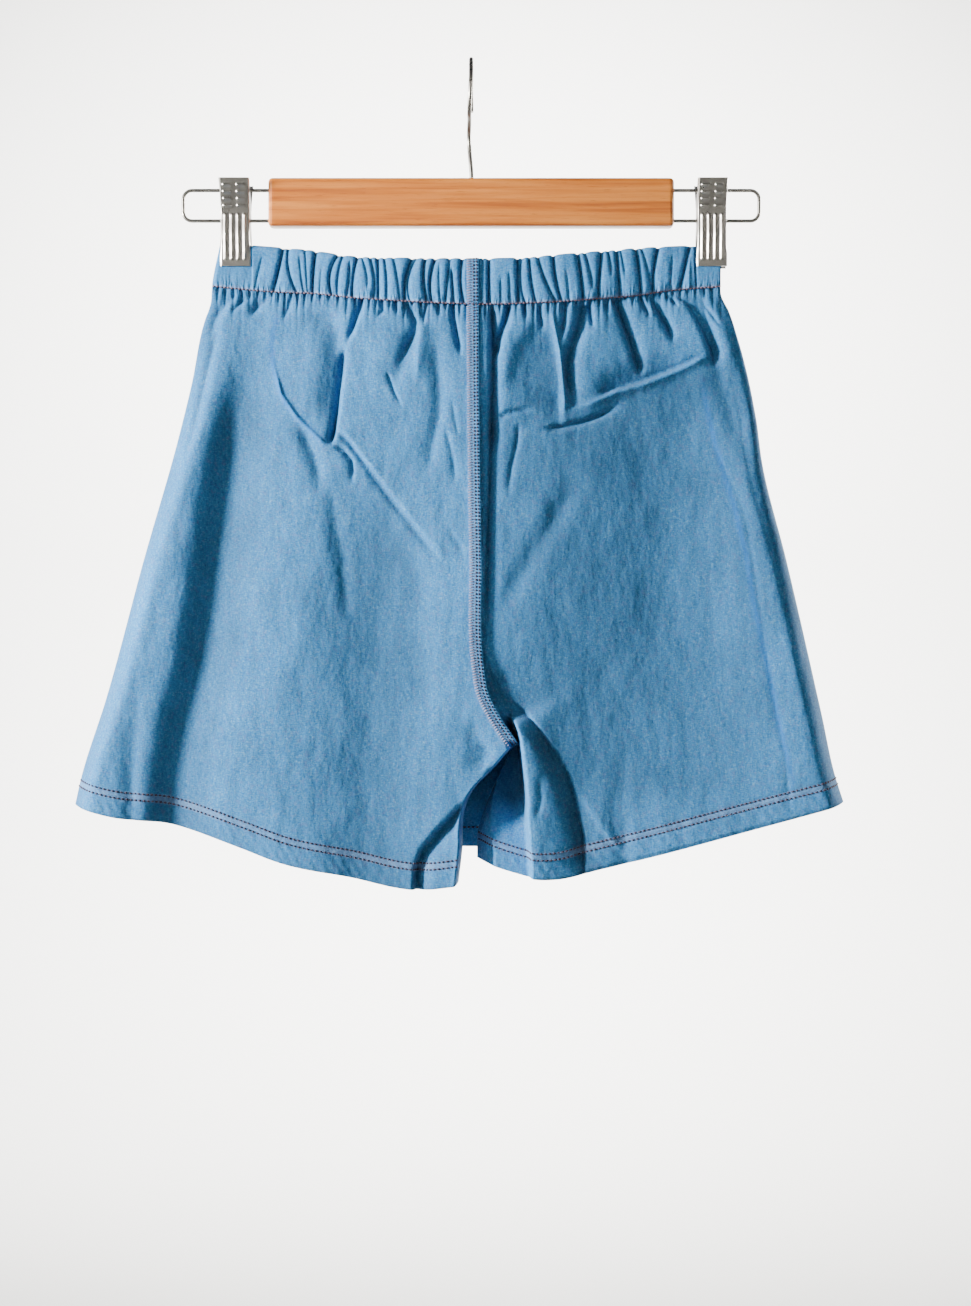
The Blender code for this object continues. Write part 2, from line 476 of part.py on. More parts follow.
def build_skirt(material, collection):
    """The overlay: one panel from side seam to side seam, outside the short legs' fronts."""
    hem = smooth_curve(SKIRT_HEM)
    rows = np.append((np.arange(SKIRT_ROWS) / SKIRT_ROWS)**SKIRT_CROWDING, [HEM_TURN, 1.0])
    share = np.linspace(0, 1, SKIRT_COLUMNS)
    x_top = left_side(PANEL_TOP) + share * (right_side(PANEL_TOP) - left_side(PANEL_TOP))
    x_hem = SKIRT_HEM[0].x + share * (SKIRT_HEM[-1].x - SKIRT_HEM[0].x)
    top = casing_drop(x_top) + SEAM_GAP
    drop = top[None, :] + (hem(x_hem) - top)[None, :] * rows[:, None]
    x = left_side(drop) + share[None, :] * (right_side(drop) - left_side(drop))
    full = fullness(x, drop)
    clear = SEAM_GAP * 1.5 + FRONT_CLOTH
    folds = fold_relief(x, drop, SKIRT_FOLDS) * side_fade(x, drop)
    near = clear + np.maximum(skirt_depth(drop) * full + folds, (front_depth(drop) + LAYER_CLEAR) * full)
    out = near + wall_depth(x, drop, near, SKIRT_CLOTH)
    wall("skirt_front", grid(x, drop, out), grid(x, drop, near), material, collection)


def casing_columns(gathers, start, end):
    """A column at each gather's valley and halfway between two, as (top x, foot x, relief)."""
    tops = [start[0]] + [row.top for row in gathers] + [end[0]]
    feet = [start[1]] + [row.foot for row in gathers] + [end[1]]
    depths = [0.0] + [row.depth for row in gathers] + [0.0]
    columns = []
    for i in range(len(tops)):
        columns.append((tops[i], feet[i], -depths[i]))
        if i < len(tops) - 1:
            rise = 0.25 * (depths[i] + depths[i + 1])
            columns.append(((tops[i] + tops[i + 1]) / 2, (feet[i] + feet[i + 1]) / 2, rise))
    return [(top, foot, 0.0 if abs(top) > PINCH_HALF else rise) for top, foot, rise in columns]


def casing_grid(columns, ends, facing):
    """Points of a casing: gathers on the outer face, over a plain inside."""
    x = np.zeros((len(CASING_ROWS), len(columns)))
    drop = np.zeros_like(x)
    relief = np.zeros_like(x)
    for r, row in enumerate(CASING_ROWS):
        for c, (top, foot, rise) in enumerate(columns):
            x[r, c] = top + (foot - top) * row.share
            upper = waist_drop(x[r, c])
            drop[r, c] = upper + (casing_drop(x[r, c]) - upper) * row.share
            relief[r, c] = rise * row.gather
    for c, end in ends:
        x[:, c] = end(drop[:, c])
    near = SEAM_GAP / 2 + back_depth(np.minimum(drop, CASING_FOOT)) * fullness(x, drop)
    walls = np.array([row.wall for row in CASING_ROWS])[:, None]
    out = near + np.maximum(walls + relief, THINNEST_CASING)
    return grid(x, drop, facing * out), grid(x, drop, facing * near)


def build_casings(material, collection):
    start = (left_side(WAIST[0].drop), left_side(CASING_SEAM[0].drop))
    centre = (seam_above(waist_drop(0)), seam_above(casing_drop(0)))
    end = (right_side(WAIST[-1].drop), right_side(CASING_SEAM[-1].drop))

    def before_seam(drop):
        return seam_above(drop) - SEAM_HALF

    def after_seam(drop):
        return seam_above(drop) + SEAM_HALF

    left = casing_columns(LEFT_GATHERS, start, centre)
    left[-2:] = [(centre[0] - SEAM_HALF, centre[1] - SEAM_HALF, UNDER_SEAM_RISE), (*centre, UNDER_SEAM_RISE)]
    right = casing_columns(RIGHT_GATHERS, centre, end)
    right[:2] = [(*centre, UNDER_SEAM_RISE), (centre[0] + SEAM_HALF, centre[1] + SEAM_HALF, UNDER_SEAM_RISE)]
    left_outer, left_near = casing_grid(left, [(0, left_side), (-2, before_seam), (-1, left_inner)], -1)
    right_outer, right_near = casing_grid(right, [(0, right_inner), (1, after_seam), (-1, right_side)], -1)
    wall("back_casing_left", left_outer, left_near, material, collection)
    wall("back_casing_right", right_outer, right_near, material, collection)
    pitch = 2 * FRONT_GATHER_HALF / (FRONT_GATHERS - 1)
    hidden = []
    for i in range(FRONT_GATHERS):
        wander = 0.22 * pitch * math.sin(2.3 * i + 0.7)
        lean = 1.6 * math.sin(1.7 * i)
        depth = FRONT_GATHER_DEPTH + 0.4 * math.sin(3.1 * i)
        place = -FRONT_GATHER_HALF + pitch * i + wander
        hidden.append(Gather(place, place + lean, depth))
    outer, near = casing_grid(casing_columns(hidden, start, end), [(0, left_side), (-1, right_side)], 1)
    wall("front_casing", outer, near, material, collection)
    return left_outer, right_outer


def build_seam(casing_left, casing_right, panel_left, panel_right, material, collection):
    """The lapped seam lies on the last columns of both backs, moved out."""
    rows = []
    for left, right in ((casing_left, casing_right), (panel_left, panel_right)):
        count = len(left) if left is casing_left else ROWS_UP + 1
        for r in range(count):
            rows.append([left[r, -2], left[r, -1], right[r, 0], right[r, 1]])
    under = np.array(rows)
    under[:, :, 1] -= SEAM_GAP
    over = under.copy()
    over[:, :, 1] -= SEAM_STRIP
    wall("back_seam", over, under, material, collection)


def tube(name, points, radius, material, collection):
    """A round wire along points in millimetres."""
    curve = bpy.data.curves.new(name, "CURVE")
    curve.dimensions = "3D"
    curve.bevel_depth = radius * MM
    curve.bevel_resolution = 2
    curve.use_fill_caps = True
    spline = curve.splines.new("POLY")
    spline.points.add(len(points) - 1)
    for point, place in zip(spline.points, points):
        point.co = (place[0] * MM, place[1] * MM, place[2] * MM, 1)
    curve.materials.append(material)
    piece = bpy.data.objects.new(name, curve)
    collection.objects.link(piece)
    return piece


def hook_points():
    """The stem rises out of the bar, leans back a little, then rounds over the bearing point."""
    top = HOOK_WIRE
    foot = -(BAR_MIDDLE - BAR_HEIGHT / 2) - HOOK_IN_BAR
    stem = [(0, 0, foot), (0, 0, foot + HOOK_IN_BAR + 2), (0, 0.8, -62), (0, 1.8, -56), (0, 2.2, -51),
            (0, 1.0, -46.5), (0, -3.0, -42.2), (0, -9.0, -38.8)]
    middle = top - HOOK_ROUND
    turns = np.radians(np.arange(222, -12, -13))
    bow = [(0, HOOK_ROUND * math.cos(a), middle + HOOK_ROUND * math.sin(a)) for a in turns]
    return stem + bow


def loop_points(way):
    """A wire loop out of one end of the bar: way is -1 for the left and 1 for the right."""
    start = BAR_LENGTH / 2 - LOOP_IN_BAR
    bend = LOOP_END - LOOP_CORNER
    points = [(way * start, 0, -LOOP_TOP)]
    for turn in range(0, 91, 18):
        a = math.radians(turn)
        points.append((way * (bend + LOOP_CORNER * math.sin(a)), 0,
                       -LOOP_TOP - LOOP_CORNER * (1 - math.cos(a))))
    for turn in range(0, 91, 18):
        a = math.radians(turn)
        points.append((way * (bend + LOOP_CORNER * math.cos(a)), 0,
                       -LOOP_FOOT + LOOP_CORNER * (1 - math.sin(a))))
    points.append((way * start, 0, -LOOP_FOOT))
    return points


def build_bar(material, collection, cutters):
    """The bar is bored at its ends for the loops and on top for the hook."""
    bpy.ops.mesh.primitive_cube_add(size=1, location=(0, 0, -BAR_MIDDLE * MM))
    bar = bpy.context.object
    bar.name = "hanger_bar"
    bar.scale = (BAR_LENGTH * MM, BAR_THICK * MM, BAR_HEIGHT * MM)
    bpy.ops.object.transform_apply(location=False, rotation=False, scale=True)
    bar.data.materials.append(material)
    move_to(bar, collection)
    edge = bar.modifiers.new("eased edges", "BEVEL")
    edge.width = BAR_EDGE * MM
    edge.segments = 3
    bores = [((way * (BAR_LENGTH / 2 - LOOP_IN_BAR / 2 + 1), -drop), True, LOOP_WIRE, LOOP_IN_BAR + 4)
             for way in (-1, 1) for drop in (LOOP_TOP, LOOP_FOOT)]
    top = -(BAR_MIDDLE - BAR_HEIGHT / 2)
    bores.append(((0, top - HOOK_IN_BAR / 2 + 1), False, HOOK_WIRE, HOOK_IN_BAR + 4))
    for i, ((x, z), lying, wire, length) in enumerate(bores):
        turn = (0, math.pi / 2, 0) if lying else (0, 0, 0)
        bpy.ops.mesh.primitive_cylinder_add(vertices=12, radius=(wire + HOLE_EASE) * MM,
                                            depth=length * MM, location=(x * MM, 0, z * MM),
                                            rotation=turn)
        bore = bpy.context.object
        bore.name = f"bore_{i}"
        bore.hide_render = True
        bore.display_type = "WIRE"
        move_to(bore, cutters)
        cut = bar.modifiers.new(bore.name, "BOOLEAN")
        cut.operation = "DIFFERENCE"
        cut.object = bore
    bar.data.shade_smooth()
    bar.data.set_sharp_from_angle(angle=math.radians(SHARP_ANGLE))


def move_to(piece, collection):
    for owner in list(piece.users_collection):
        owner.objects.unlink(piece)
    collection.objects.link(piece)


def plate_columns():
    """x across a clip plate with its rib height: four pressed ribs."""
    half = CLIP_WIDTH / 2
    columns = [(-half, 0)]
    for i in range(4):
        middle = (i - 1.5) * CLIP_RIB_PITCH
        for step, height in ((-0.5, 0), (-0.28, 1), (0.28, 1), (0.5, 0)):
            columns.append((middle + step * CLIP_RIB_WIDTH * 1.25, height))
    columns.append((half, 0))
    return columns


def build_plate(name, middle, facing, material, collection):
    columns = plate_columns()
    x = np.array([[middle + place for place, _ in columns] for _ in PLATE])
    drop = np.array([[row.drop] * len(columns) for row in PLATE])
    near = np.array([[row.out] * len(columns) for row in PLATE])
    rib = np.array([[row.rib * CLIP_RIB * height for _, height in columns] for row in PLATE])
    wall(name, grid(x, drop, facing * (near + CLIP_PLATE + rib)), grid(x, drop, facing * near),
         material, collection)


def build_spring(name, middle, material, collection):
    """A leaf bent over the top wire, its two legs pressing the plates' jaws together."""
    inside = SPRING_OUT - SPRING_THICK
    bend = LOOP_TOP - LOOP_WIRE - SEAM_GAP + inside
    angles = np.radians(np.arange(0, 181, 30))
    outer = [(-SPRING_OUT * math.cos(a), bend - SPRING_OUT * math.sin(a)) for a in angles]
    inner = [(-inside * math.cos(a), bend - inside * math.sin(a)) for a in angles]
    outer = [(-SPRING_OUT, SPRING_FOOT)] + outer + [(SPRING_OUT, SPRING_FOOT)]
    inner = [(-inside, SPRING_FOOT)] + inner + [(inside, SPRING_FOOT)]
    left = middle - SPRING_WIDTH / 2
    right = middle + SPRING_WIDTH / 2
    far = np.array([[(x, y, -drop) for x in (left, right)] for y, drop in outer])
    near = np.array([[(x, y, -drop) for x in (left, right)] for y, drop in inner])
    wall(name, far, near, material, collection)


def main():
    for item in list(bpy.data.objects):
        bpy.data.objects.remove(item, do_unlink=True)
    parts = bpy.data.collections.new("skort_on_hanger")
    cutters = bpy.data.collections.new("cutters")
    bpy.context.scene.collection.children.link(parts)
    bpy.context.scene.collection.children.link(cutters)

    left = back_panel("back_panel_left", LEFT_HEM, left_side, left_inner, False, LEFT_COLUMNS,
                      LEFT_FOLDS, finish("back_left_denim", DENIM, 0.85), parts)
    right = back_panel("back_panel_right", RIGHT_HEM, right_side, right_inner, True, RIGHT_COLUMNS,
                       RIGHT_FOLDS, finish("back_right_denim", DENIM, 0.85), parts)
    casings = build_casings(finish("casing_denim", DENIM, 0.85), parts)
    build_seam(*casings, left, right, finish("seam_denim", SEAM_DENIM, 0.85), parts)
    front = finish("front_denim", DENIM, 0.85)
    front_panel("front_panel_left", LEFT_HEM, left_side, left_inner, False, front, parts)
    front_panel("front_panel_right", RIGHT_HEM, right_side, right_inner, True, front, parts)
    build_skirt(finish("skirt_denim", DENIM, 0.85), parts)

    build_bar(finish("varnished_wood", WOOD, 0.35), parts, cutters)
    wire = finish("chrome_wire", CHROME, 0.18, 1.0)
    tube("hanger_hook", hook_points(), HOOK_WIRE, wire, parts)
    tube("wire_loop_left", loop_points(-1), LOOP_WIRE, wire, parts)
    tube("wire_loop_right", loop_points(1), LOOP_WIRE, wire, parts)
    plate = finish("chrome_plate", CHROME, 0.25, 1.0)
    for side, middle in (("left", CLIP_LEFT), ("right", CLIP_RIGHT)):
        build_plate(f"clip_{side}_front", middle, -1, plate, parts)
        build_plate(f"clip_{side}_back", middle, 1, plate, parts)
        build_spring(f"clip_{side}_spring", middle, finish("spring_steel", CHROME, 0.3, 1.0), parts)


main()
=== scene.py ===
"""A pull-on denim skort on a wooden two-clip hanger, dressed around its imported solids.

The back of the garment faces -Y and the camera. Tables are in millimetres: "drop" is the distance
below the origin, which is the hook's bearing point, and "out" the distance off the middle plane y = 0.
"""
import math
from collections import namedtuple

import bmesh
import bpy
import numpy as np
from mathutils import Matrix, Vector


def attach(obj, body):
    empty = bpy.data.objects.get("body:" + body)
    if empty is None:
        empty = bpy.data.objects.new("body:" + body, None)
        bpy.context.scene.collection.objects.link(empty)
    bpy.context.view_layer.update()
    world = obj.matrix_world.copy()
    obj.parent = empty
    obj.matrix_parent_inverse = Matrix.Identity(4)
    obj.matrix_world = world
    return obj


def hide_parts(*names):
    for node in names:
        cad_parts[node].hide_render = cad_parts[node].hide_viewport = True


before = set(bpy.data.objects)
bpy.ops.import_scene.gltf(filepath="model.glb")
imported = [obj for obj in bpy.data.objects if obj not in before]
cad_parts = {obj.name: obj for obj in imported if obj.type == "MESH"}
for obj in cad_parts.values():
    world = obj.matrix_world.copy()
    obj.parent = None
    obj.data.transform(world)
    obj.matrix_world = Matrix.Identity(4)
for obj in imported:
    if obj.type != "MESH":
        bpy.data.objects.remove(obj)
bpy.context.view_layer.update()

# Studio
# A level camera faces the skort's back, square on, as in the photograph. Soft daylight falls from the
# upper left; a pale round sweep is the floor and the backdrop from every side.
MM = 0.001
CAMERA_PLACE = (0.009, -1.25, -0.372)
FRAME_HEIGHT = 0.823         # what the picture shows from top to bottom, at the garment
SENSOR = 36.0
SWEEP_RADIUS, SWEEP_FILLET, FLOOR_DROP, SWEEP_TOP = 3.4, 1.1, 1.25, 2.2
SWEEP_TURNS, FILLET_STEPS = 96, 12
SWEEP_COLOUR = "#D6D5D2"
Lamp = namedtuple("Lamp", "name place aim size spread watts colour")
LAMPS = [Lamp("daylight", (-1.9, -0.67, 0.0), (0.0, 0.0, -0.33), 0.34, 50, 16.0, "#FFFDF8"),
         Lamp("front_daylight", (1.6, 1.1, 0.1), (0.0, 0.0, -0.33), 0.6, 50, 6.5, "#FFFDF8"),
         Lamp("window", (-1.5, -1.45, 0.1), (0.0, 0.0, -0.3), 1.3, 120, 5.0, "#FFFFFF"),
         Lamp("backdrop_light", (0.0, 0.9, 1.7), (0.0, 3.4, -0.6), 0.8, 95, 310.0, "#FFFFFF")]
SKY_COLOUR, SKY_STRENGTH = "#EEF2F8", 0.12


def to_linear(hex_colour):
    """An sRGB hex value as linear RGBA."""
    parts = [int(hex_colour[i:i + 2], 16) / 255 for i in (1, 3, 5)]
    return (*(p / 12.92 if p <= 0.04045 else ((p + 0.055) / 1.055)**2.4 for p in parts), 1.0)


def add_node(tree, kind, settings=None, links=None):
    """Adds a node: settings are attributes or input values, links are input to (node, output)."""
    node = tree.nodes.new(kind)
    for key, value in (settings or {}).items():
        if isinstance(key, str) and hasattr(node, key):
            setattr(node, key, value)
        else:
            node.inputs[key].default_value = value
    for key, (source, output) in (links or {}).items():
        tree.links.new(source.outputs[output], node.inputs[key])
    return node


def new_material(name):
    """An empty material and the tree in it, with only its output."""
    material = bpy.data.materials.new(name)
    material.use_nodes = True
    tree = material.node_tree
    tree.nodes.clear()
    return material, tree


def finish_surface(tree, shader):
    add_node(tree, "ShaderNodeOutputMaterial", links={"Surface": (shader, "BSDF")})


def add_object(name, data):
    """An object of mesh, curve, lamp or camera data, in the scene."""
    thing = bpy.data.objects.new(name, data)
    bpy.context.scene.collection.objects.link(thing)
    return thing


def aim(thing, place, target):
    thing.location = place
    thing.rotation_euler = (Vector(target) - Vector(place)).to_track_quat("-Z", "Y").to_euler()


camera_data = bpy.data.cameras.new("camera")
camera_data.sensor_fit = "VERTICAL"
camera_data.sensor_height = SENSOR
camera_data.lens = SENSOR * -CAMERA_PLACE[1] / FRAME_HEIGHT
camera_data.clip_end = 30.0
camera = add_object("camera", camera_data)
aim(camera, CAMERA_PLACE, (CAMERA_PLACE[0], 0.0, CAMERA_PLACE[2]))
bpy.context.scene.camera = camera

for lamp in LAMPS:
    light = bpy.data.lights.new(lamp.name, "AREA")
    light.shape = "DISK"
    light.size = lamp.size
    light.spread = math.radians(lamp.spread)
    light.energy = lamp.watts
    light.color = to_linear(lamp.colour)[:3]
    aim(add_object(lamp.name, light), lamp.place, lamp.aim)

sky = bpy.data.worlds.new("pale studio")
sky.use_nodes = True
sky_light = sky.node_tree.nodes["Background"].inputs
sky_light["Color"].default_value = to_linear(SKY_COLOUR)
sky_light["Strength"].default_value = SKY_STRENGTH
bpy.context.scene.world = sky

sweep_paint, sweep_tree = new_material("matt_studio_paper")
finish_surface(sweep_tree, add_node(sweep_tree, "ShaderNodeBsdfPrincipled", {
    "Base Color": to_linear(SWEEP_COLOUR), "Roughness": 0.95, "Specular IOR Level": 0.1}))
fillet = [math.pi / 2 * step / FILLET_STEPS for step in range(FILLET_STEPS + 1)]
profile = [(SWEEP_RADIUS - SWEEP_FILLET * (1 - math.sin(a)), -FLOOR_DROP + SWEEP_FILLET * (1 - math.cos(a)))
           for a in fillet] + [(SWEEP_RADIUS, SWEEP_TOP)]
round_about = [2 * math.pi * k / SWEEP_TURNS for k in range(SWEEP_TURNS)]
sweep_shape = bmesh.new()
rings = [[sweep_shape.verts.new((r * math.cos(a), r * math.sin(a), z)) for a in round_about]
         for r, z in profile]
middle = sweep_shape.verts.new((0, 0, -FLOOR_DROP))
for k in range(SWEEP_TURNS):
    after = (k + 1) % SWEEP_TURNS
    sweep_shape.faces.new((middle, rings[0][k], rings[0][after]))
    for low, high in zip(rings, rings[1:]):
        sweep_shape.faces.new((low[k], high[k], high[after], low[after]))
sweep_mesh = bpy.data.meshes.new("studio_sweep")
sweep_shape.to_mesh(sweep_mesh)
sweep_shape.free()
sweep_mesh.shade_smooth()
sweep_mesh.materials.append(sweep_paint)
add_object("studio_sweep", sweep_mesh)

# Backs of the short legs
# Light stretch denim, a blue warp with a white weft and slubs of lilac. Each back is cut in one piece
# and hangs from the gathered casing in soft folds, with creases pressed in while it lay folded.
# Outlines are rows of (drop, x), rims rows of (x, drop), and depths rows of (drop, out).
SEAM_GAP = 0.3
CLOTH, HEM, THINNEST = 1.4, 2.4, 0.15
# Spacing of the modelled cloth's points, columns first: rows are closer in the gathers and at the hem.
FINE_STEPS = (0.8, 1.15, 2.2, 2.2, 1.0)
HIDDEN_STEPS = (3.2, 4.4, 4.4, 4.4, 4.4)
PANEL_TOP, FINE_TO, HEM_ZONE = 150.0, 256.0, 22.0
ZONES_AT_SIDE = [0.0, 0.31, 0.78, 0.935, 1.0]

LEFT_SIDE = [(114, -158), (141, -163.3), (152, -164.2), (163, -168), (202, -176), (232, -183), (314, -206),
             (401, -229.4), (450, -244.8), (466, -248.4)]
RIGHT_SIDE = [(116, 157.8), (140, 157), (147, 157.6), (156, 162), (174, 168), (225, 179.6), (251, 183),
              (314, 198.4), (410, 220.2), (450, 229), (465, 233.8)]
WAIST = [(-158, 114.3), (-120, 117.2), (-97, 119.7), (-80, 122.8), (-61, 124.2), (-29, 124.9), (1, 125),
         (32, 124.6), (58, 122.3), (84, 119.7), (103, 117.8), (140, 115.9), (158, 115.8)]
CASING_SEAM = [(-163.5, 140.9), (-144, 142.9), (-122, 144.8), (-99, 146.1), (-74, 149.3), (-41, 151.8),
               (-9, 153.3), (6, 153.7), (32, 153.1), (58, 151.8), (84, 149.3), (103, 147.4), (122, 144.2),
               (157, 141.1)]
CENTRE_SEAM = [(116, 1.2), (205, 1.5), (314, 3), (380, 4.4), (398, 7.5), (413, 15), (430, 26.3)]
CROTCH = 430.0
LEFT_INSEAM = [(430, 26.3), (445, 13.4), (456, 2.5), (468, -3.2), (476, -4.8), (493, -5.2), (516, -7.8)]
RIGHT_INSEAM = [(430, 26.3), (442, 20.4), (454, 14.6), (468, 8.8), (483, 4.2), (500, 3.5)]
LEFT_HEM = [(-248.4, 466), (-219, 473.5), (-188, 477.2), (-166, 483), (-140, 492), (-115, 501.3),
            (-70, 511), (-44, 517), (-34, 518.2), (-7.8, 515.8)]
RIGHT_HEM = [(3.5, 500.2), (24, 507.4), (39, 511.2), (50, 511.2), (77, 505), (108, 497.4), (155, 485),
             (193, 475), (233.8, 464.6)]
BACK_DEPTH = [(116, 6.5), (154, 8.5), (200, 13), (280, 17.5), (400, 23), (520, 27)]
PINCH_HALF, PINCH_EASE = 137.0, 95.0
SIDE_ROUND, SLACK, PROUD, DEEPEST_SHADE = 17.0, 2.8, 0.3, -2.0
BODY_FROM, BODY_TO = 143.0, 240.0
INSEAM_DEPTH = [(380, 9), (430, 8), (470, 4), (520, 2)]
EDGE_TURN = 2.6              # the cloth turns in at the side seams over this width
STEP_EDGE, STEP_REACH = 0.7, 13.0
HEM_ROWS = (12.3, 16.3)      # stitch rows, above the hem's edge
HEM_TURNED_UP, HEM_TINT = 20.0, 0.2
WAVES, SHORT_PITCH, SHORT_DEPTH = (0.42, 0.16), 4.7, 1.7

# A fold's width is given left and right of its path, looked at going down. The fades are the shares of
# its length over which it begins and ends. A depth below 0 is a ridge, and a step raises its right side.
Fold = namedtuple("Fold", "name depth left right fade_in fade_out points step", defaults=(0.0,))

LEFT_FOLDS = [
    Fold("side to hem", 9, 13, 23, 0.28, 0, [(-138, 158), (-139, 195.3), (-145, 225.5), (-151.4, 263.3),
         (-156.2, 301.1), (-160.6, 338.9), (-166.4, 376.7), (-176.6, 414.5), (-184, 452.3), (-185.6, 484),
         (-186, 520)]),
    Fold("its second fall", 2.2, 6.5, 5, 0.5, 0, [(-203, 380), (-207, 415), (-209, 447), (-209.5, 500)]),
    Fold("fall by the side", 2.6, 4.5, 3.5, 0.2, 0.4, [(-158, 163), (-164, 190), (-170, 222),
         (-180, 262)]),
    Fold("slant under the clip 1", 3.2, 4.2, 2.4, 0.1, 0.4, [(-148.4, 144.5), (-154.7, 152), (-161, 162),
         (-165, 178)]),
    Fold("slant under the clip 2", 2.4, 2.2, 1.6, 0.1, 0.4, [(-134.7, 143.6), (-143.1, 149.9),
         (-151.5, 159.3)]),
    Fold("slant under the clip 3", 3, 3.6, 2.2, 0.1, 0.5, [(-127.4, 145.8), (-132.6, 152), (-139.5, 163)]),
    Fold("slant under the clip 4", 1.8, 2, 1.4, 0.1, 0.5, [(-113.7, 148), (-114.8, 156.2), (-118.9, 165)]),
    Fold("pleat, its roll", 3.2, 9, 5, 0.2, 0.2, [(-104.5, 154.5), (-97.5, 160.4), (-88.2, 164),
         (-84.4, 173.7), (-84.4, 191.9), (-86.2, 208.7), (-88.4, 232)]),
    Fold("pleat, its slit", 5.8, 2.5, 1, 0.14, 0.1, [(-79, 180), (-80.4, 196.1), (-82, 210.1),
         (-83.2, 222.7), (-85, 236), (-87.4, 243.5)], step=0.6),
    Fold("gather into the pleat", 4.4, 2.3, 1.3, 0.05, 0.35, [(-67.8, 148), (-69.2, 156.9), (-73, 168),
         (-78.5, 181)], step=1.4),
    Fold("hollow left of the pleat", 2.2, 5, 3.5, 0.3, 0.4, [(-111, 226), (-102.5, 237.5), (-97.6, 248.5),
         (-95, 258), (-94.6, 276)]),
    Fold("roll of the hip crease", -1.4, 1.3, 1, 0.35, 0.1, [(-125, 186), (-117.9, 211.5), (-108.1, 225.5),
         (-98.3, 235.3), (-88.5, 244.5)]),
    Fold("hook of the slant", 2.2, 2.4, 0.9, 0.2, 0.3, [(-86, 242), (-78.7, 246), (-73.8, 252.1),
         (-72.8, 259.1), (-74.6, 268)]),
    Fold("long slant to the seam", 2, 2.3, 0.8, 0.1, 0.25, [(-85, 232), (-75.5, 240.5), (-65, 254.5),
         (-49.5, 275.5), (-35, 294), (-22, 309.5), (-14, 320)], step=1.3),
    Fold("gather end 1", 2, 1.8, 1.2, 0.1, 0.5, [(-56.3, 150), (-55, 158), (-60, 164)]),
    Fold("gather end 2", 2.4, 1.5, 1, 0.1, 0.5, [(-47.9, 150), (-46, 161)]),
    Fold("gather end 3", 2.8, 2.2, 1.6, 0.08, 0.35, [(-40.6, 151), (-37.8, 158.3), (-34.4, 164.6),
         (-35, 172.3), (-40.2, 182.1), (-46, 195)]),
    Fold("hollow beside it", 2, 6, 4, 0.2, 0.5, [(-35, 167), (-38, 181), (-45, 198), (-50, 214)]),
    Fold("roll beside it", -1.5, 2.2, 5, 0.3, 0.4, [(-29.7, 158), (-31.8, 172), (-33, 188), (-33.6, 206)]),
    Fold("gather end 4", 2.4, 1.6, 1.1, 0.08, 0.5, [(-27.4, 152.5), (-29.2, 162), (-29.6, 170)]),
    Fold("gather end 5", 1.8, 1.4, 1, 0.08, 0.5, [(-20, 153), (-19.5, 163)]),
    Fold("gather end by the seam", 3.4, 2.2, 1, 0.05, 0.3, [(-10.8, 152), (-10.4, 162), (-8.6, 172),
         (-6.8, 181), (-6.4, 189)]),
    Fold("soft groove", 2, 5.4, 4.2, 0.25, 0.35, [(-22.4, 168), (-20.8, 190), (-19.4, 212), (-19.9, 225.5),
         (-23.4, 240), (-29, 270)]),
    Fold("short one by the seam 1", 0.8, 1.9, 1.3, 0.25, 0.3, [(-12, 214), (-9.6, 227), (-7.6, 239)]),
    Fold("short one by the seam 2", 1, 2.5, 1.5, 0.2, 0.3, [(-16.4, 231), (-12.4, 244), (-10.2, 256.3),
         (-9.6, 268)]),
    Fold("short one by the seam 3", 0.8, 2.1, 1.3, 0.25, 0.3, [(-15, 293.5), (-8.7, 302.5), (-3.2, 312)]),
    Fold("thin crease", 1.2, 1.5, 1, 0.25, 0.35, [(-52.8, 195), (-48, 208.7), (-41.5, 222)]),
    Fold("broad hollow", 5.6, 31, 30, 0.3, 0, [(-68, 235), (-61, 275), (-57, 330), (-56, 400),
         (-60, 530)]),
    Fold("soft fall in it", 1.3, 5, 5, 0.3, 0.3, [(-88, 268), (-80, 310), (-75, 360)]),
    Fold("hollow to the crotch", 1.3, 12, 9, 0.3, 0.2, [(-36, 290), (-34, 350), (-28, 410)]),
    Fold("crease by the crotch 1", 1.8, 2.2, 1.8, 0.3, 0.4, [(6.5, 428), (10, 434), (14, 439)]),
    Fold("crease by the crotch 2", 1.6, 2, 1.8, 0.3, 0.4, [(4.5, 435), (7.5, 441), (8.6, 446)]),
    Fold("hollow by the crotch", 1.6, 7, 5, 0.3, 0.3, [(1, 410), (5, 430), (1, 450)]),
    Fold("edge over its inner part", 6, 1.1, 6, 0.05, 0.1, [(14, 441), (5.8, 452.5), (-3.6, 464.9),
         (-12.9, 475), (-19.2, 481.3), (-25.5, 488.8), (-30.5, 495.1), (-33.7, 504),
         (-34.6, 530)], step=-1.8)]
